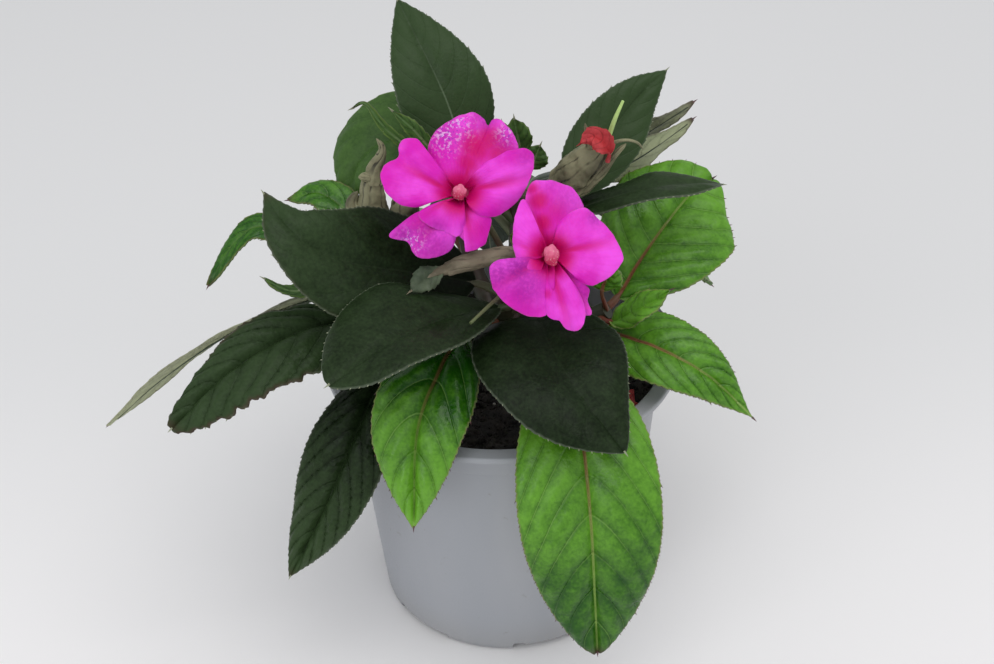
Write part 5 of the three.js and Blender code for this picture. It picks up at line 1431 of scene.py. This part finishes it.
# Corners of the pot's outline from the underside out, up and back in: radius, height, rounding.
profile = rounded([
    (0, 0, 0), (BASE_RADIUS - 0.4, 0, 2.2), (wall_at(2.4), 2.4, 1.2),
    (wall_at(collar_foot - 0.6), collar_foot - 0.6, 0.4), (collar - COLLAR_DRAFT, collar_foot, 0.6),
    (collar, lip_foot, 0.5), (RIM_RADIUS - 0.6, lip_foot, 0.3),
    (RIM_RADIUS - 0.4, bead_foot, 0.2), (RIM_RADIUS + 0.3, bead_foot, 0.3),
    (RIM_RADIUS + 0.3, POT_HEIGHT, 0.9), (collar - WALL, POT_HEIGHT, 0.6),
    (wall_top - WALL, collar_foot, 1.5),
    (wall_at(FLOOR) - WALL, FLOOR, 1.5), (0, FLOOR, 0),
])
rows = len(profile)
mesh = loose_mesh("pot_profile", np.column_stack([profile[:, 0], np.zeros(rows), profile[:, 1]]),
                  [(k, k + 1) for k in range(rows - 1)])
mesh = grow(mesh, lathe_tree(), {"Sides": POT_SIDES, "Finish": FINISHES["pot"]})
pot = bpy.data.objects.new("pot_blank", mesh)
bpy.context.scene.collection.objects.link(pot)


def foot_gap(degrees):
    """A wedge out of the pot's underside, between two feet."""
    half, outer = FOOT_GAP_DEGREES / 2, 1.3 * BASE_RADIUS
    arc = [ring_spot(degrees + a, outer) for a in np.linspace(-half, half, ARC_PLACES)]
    inner = [ring_spot(degrees + a, FOOT_HUB_RADIUS) for a in (-half, half)]
    return prism([inner[0], *arc, inner[1]], CUT_BELOW, FOOT_GAP_HEIGHT)


def drain_hole(degrees):
    x, y = ring_spot(degrees, DRAIN_CIRCLE)
    circle = [(x + DRAIN_RADIUS * math.cos(a), y + DRAIN_RADIUS * math.sin(a))
              for a in np.linspace(0, 2 * math.pi, HOLE_SIDES, endpoint=False)]
    return prism(circle, CUT_BELOW, 2 * FLOOR)


def heel_notch(degrees):
    """A small window through the wall at the pot's foot."""
    outward = np.array(ring_spot(degrees, 1))
    sideways = np.array([-outward[1], outward[0]])
    near, far, w = BASE_RADIUS - NOTCH_DEPTH, BASE_RADIUS + 2, NOTCH_WIDTH / 2
    corners = ((near, -w), (far, -w), (far, w), (near, w))
    return prism([tuple(outward * p + sideways * q) for p, q in corners], NOTCH_FOOT, NOTCH_TOP)


cut(pot, [foot_gap(g) for g in FOOT_GAPS], "foot_gaps")
cut(pot, [drain_hole(g) for g in FOOT_GAPS], "drain_holes")
cut(pot, [heel_notch(g - NOTCH_TURN) for g in FOOT_GAPS], "heel_notches")
mesh = pot.data
bpy.data.objects.remove(pot)
drop_empty_slots(mesh)
piece("plastic_pot", mesh, ["pot"], sharp=32)


# Soil

def scatter_tree():
    """Strews crumbs and pale grains over the faces whose points are marked along = 1."""
    tree, nodes, given = geometry_tree("crumbs", [
        ("Crumbs", "Float"), ("Clods", "Float"), ("Grains", "Float"), ("Seed", "Int"),
        ("Soil finish", "Material"), ("Grain finish", "Material"),
    ])
    whole = tree.nodes.new("GeometryNodeJoinGeometry")
    soil = nodes("GeometryNodeSetMaterial", {"Geometry": given["Mesh"],
                                             "Material": given["Soil finish"]})
    tree.links.new(soil, whole.inputs[0])
    marked = nodes("FunctionNodeCompare", {0: attribute(nodes, "along"), 1: 0.5},
                   data_type="FLOAT", operation="GREATER_THAN")
    kinds = (("Crumbs", "Soil finish", 0, 0.4, 1.1, 1), ("Clods", "Soil finish", 5, 1.1, 2.1, 2),
             ("Grains", "Grain finish", 9, 0.35, 0.95, 1))
    for amount, coat, shift, least, most, splits in kinds:
        seed = nodes.maths("ADD", given["Seed"], float(shift))
        spots = nodes("GeometryNodeDistributePointsOnFaces", {
            "Mesh": given["Mesh"], "Selection": marked, "Density": given[amount], "Seed": seed,
        })
        lump = nodes("GeometryNodeMeshIcoSphere", {"Radius": MM, "Subdivisions": splits})
        bend = nodes("ShaderNodeTexNoise", {"Scale": 900.0, "Detail": 1.0}, out=1)
        bend = nodes("ShaderNodeVectorMath", {0: bend, 1: (0.5, 0.5, 0.5)}, operation="SUBTRACT")
        bend = nodes("ShaderNodeVectorMath", {0: bend, "Scale": 1.5 * MM}, operation="SCALE")
        lump = nodes("GeometryNodeSetPosition", {"Geometry": lump, "Offset": bend})
        turn = nodes("FunctionNodeRandomValue", {0: (0, 0, 0), 1: (6.28, 6.28, 6.28),
                                                 "Seed": seed}, data_type="FLOAT_VECTOR")
        size = nodes("FunctionNodeRandomValue", {0: (least,) * 3, 1: (most, most, most * 0.8),
                                                 "Seed": nodes.maths("ADD", seed, 1.0)},
                     data_type="FLOAT_VECTOR")
        strewn = nodes("GeometryNodeInstanceOnPoints", {
            "Points": spots, "Instance": lump, "Scale": size,
            "Rotation": nodes("FunctionNodeEulerToRotation", {0: turn}),
        })
        strewn = nodes("GeometryNodeRealizeInstances", {"Geometry": strewn})
        strewn = nodes("GeometryNodeSetMaterial", {"Geometry": strewn, "Material": given[coat]})
        tree.links.new(strewn, whole.inputs[0])
    end_tree(tree, whole.outputs[0])
    return tree


def soil_top(x, y):
    waves = sum(share * np.sin(ax * x + ay * y + phase) for share, ax, ay, phase in SOIL_WAVES)
    return SOIL_TOP + SOIL_LUMP * waves


def soil_shape():
    """Soil: a lumpy top, the side against the wall, and the bottom on the pot's floor."""
    sectors, rings = SOIL_SECTORS, SOIL_RINGS
    brim = wall_at(SOIL_TOP) - WALL - BRIM_GAP
    turn = np.linspace(0, 2 * np.pi, sectors, endpoint=False)
    radii = np.linspace(0, brim, rings + 1)[1:]
    x, y = radii[:, None] * np.cos(turn), radii[:, None] * np.sin(turn)
    flat = np.dstack([x, y, 0 * x])
    z = soil_top(x, y) + CLODS * lumps(flat, CLOD_SIZE, 2) + PEBBLES * lumps(flat, PEBBLE_SIZE, 4)
    foot = FLOOR + UNDER_GAP
    low = [(wall_at(h) - WALL - SIDE_GAP, h) for h in (*SOIL_SIDE_HEIGHTS, foot)]
    low.append((brim / 2, foot))
    sides = [np.column_stack([r * np.cos(turn), r * np.sin(turn), np.full(sectors, h)])
             for r, h in low]
    skin = np.vstack([np.dstack([x, y, z]), np.array(sides)])
    rows = len(skin)
    first = np.arange(sectors)
    last = first + (rows - 1) * sectors
    centre, under = rows * sectors, rows * sectors + 1
    cap = np.stack([first, np.roll(first, -1), np.full(sectors, centre)], axis=1)
    base = np.stack([np.roll(last, -1), last, np.full(sectors, under)], axis=1)
    marks = np.concatenate([np.repeat(np.arange(rows) < rings - 1, sectors), [1, 0]]).astype(float)
    points = np.vstack([skin.reshape(-1, 3), [[0, 0, soil_top(0, 0)], [0, 0, foot]]])
    shape = Shape()
    shape.add(points, [ring_walls(rows, sectors), cap, base], 0, along=marks)
    return shape


soil = grow(soil_shape().mesh("soil_body", []), scatter_tree(), {
    "Crumbs": CRUMBS_A_SQUARE_METRE, "Clods": CLODS_A_SQUARE_METRE,
    "Grains": GRAINS_A_SQUARE_METRE, "Seed": CRUMB_SEED,
    "Soil finish": FINISHES["soil"], "Grain finish": FINISHES["perlite"],
})
piece("potting_soil", soil, ["soil"])


# Floor, light and camera

FLOOR_REACH = 6000
SQUARE = ((-1, -1), (1, -1), (1, 1), (-1, 1))
# The floor is painted brighter near the front and dimmer far back: painted light falloff.
FLOOR_PAINTED_BRIGHT_NEAR, FLOOR_PAINTED_DIM_FAR = (0.93, 0.915, 0.92), (0.80, 0.80, 0.805)
SKY_COLOUR, SKY_STRENGTH = (0.97, 0.98, 1.0, 1), 0.6

scene = bpy.context.scene
scene.view_settings.view_transform = "Standard"


# Painted light: the floor's colour brightens towards the front.
def floor_paint(nodes):
    away = nodes("ShaderNodeSeparateXYZ", {0: place_of(nodes)}, out=1)
    return {"Base Color": mixed(nodes, spread(nodes, away, -0.1, 0.2), FLOOR_PAINTED_BRIGHT_NEAR, FLOOR_PAINTED_DIM_FAR),
            "Roughness": spread(nodes, grain(nodes, 300), 0.3, 0.7, 0.7, 0.8)}


finish("floor", floor_paint, Specular_IOR_Level=0.1)
floor = bpy.data.objects.new("floor", loose_mesh(
    "floor", [(x * FLOOR_REACH, y * FLOOR_REACH, 0) for x, y in SQUARE], faces=[(0, 1, 2, 3)]))
floor.data.materials.append(FINISHES["floor"])
scene.collection.objects.link(floor)

scene.world = bpy.data.worlds.new("studio")
scene.world.use_nodes = True
sky = scene.world.node_tree.nodes["Background"]
sky.inputs["Color"].default_value = SKY_COLOUR
sky.inputs["Strength"].default_value = SKY_STRENGTH


LIT_PLACE = (0, 0, 0.1)


def softbox(name, place, size, watts, colour):
    """A round soft light that looks at the plant."""
    light = bpy.data.lights.new(name, "AREA")
    light.shape, light.size, light.energy, light.color = "DISK", size, watts, colour
    lamp = bpy.data.objects.new(name, light)
    lamp.location = place
    lamp.rotation_euler = (Vector(LIT_PLACE) - Vector(place)).to_track_quat("-Z", "Y").to_euler()
    scene.collection.objects.link(lamp)


softbox("key", (0.3, -0.6, 2.0), 1.9, 16, (1.0, 0.99, 0.975))
softbox("fill", (-0.9, -1.5, 1.0), 1.2, 6, (0.93, 0.97, 1.0))

lens = bpy.data.cameras.new("camera")
lens.lens, lens.sensor_width = CAMERA_FOCAL, SENSOR_WIDTH
camera = bpy.data.objects.new("camera", lens)
down, roll = math.radians(CAMERA_DOWN), math.radians(CAMERA_ROLL)
ahead = Vector((0, math.cos(down), -math.sin(down)))
level, rise = Vector((1, 0, 0)), Vector((0, math.sin(down), math.cos(down)))
right = level * math.cos(roll) + rise * math.sin(roll)
above = rise * math.cos(roll) - level * math.sin(roll)
camera.matrix_world = Matrix.Translation(
    (Vector(CAMERA_TARGET) - ahead * CAMERA_AWAY) * MM) @ Matrix(
    (right, above, -ahead)).transposed().to_4x4()
scene.collection.objects.link(camera)
scene.camera = camera
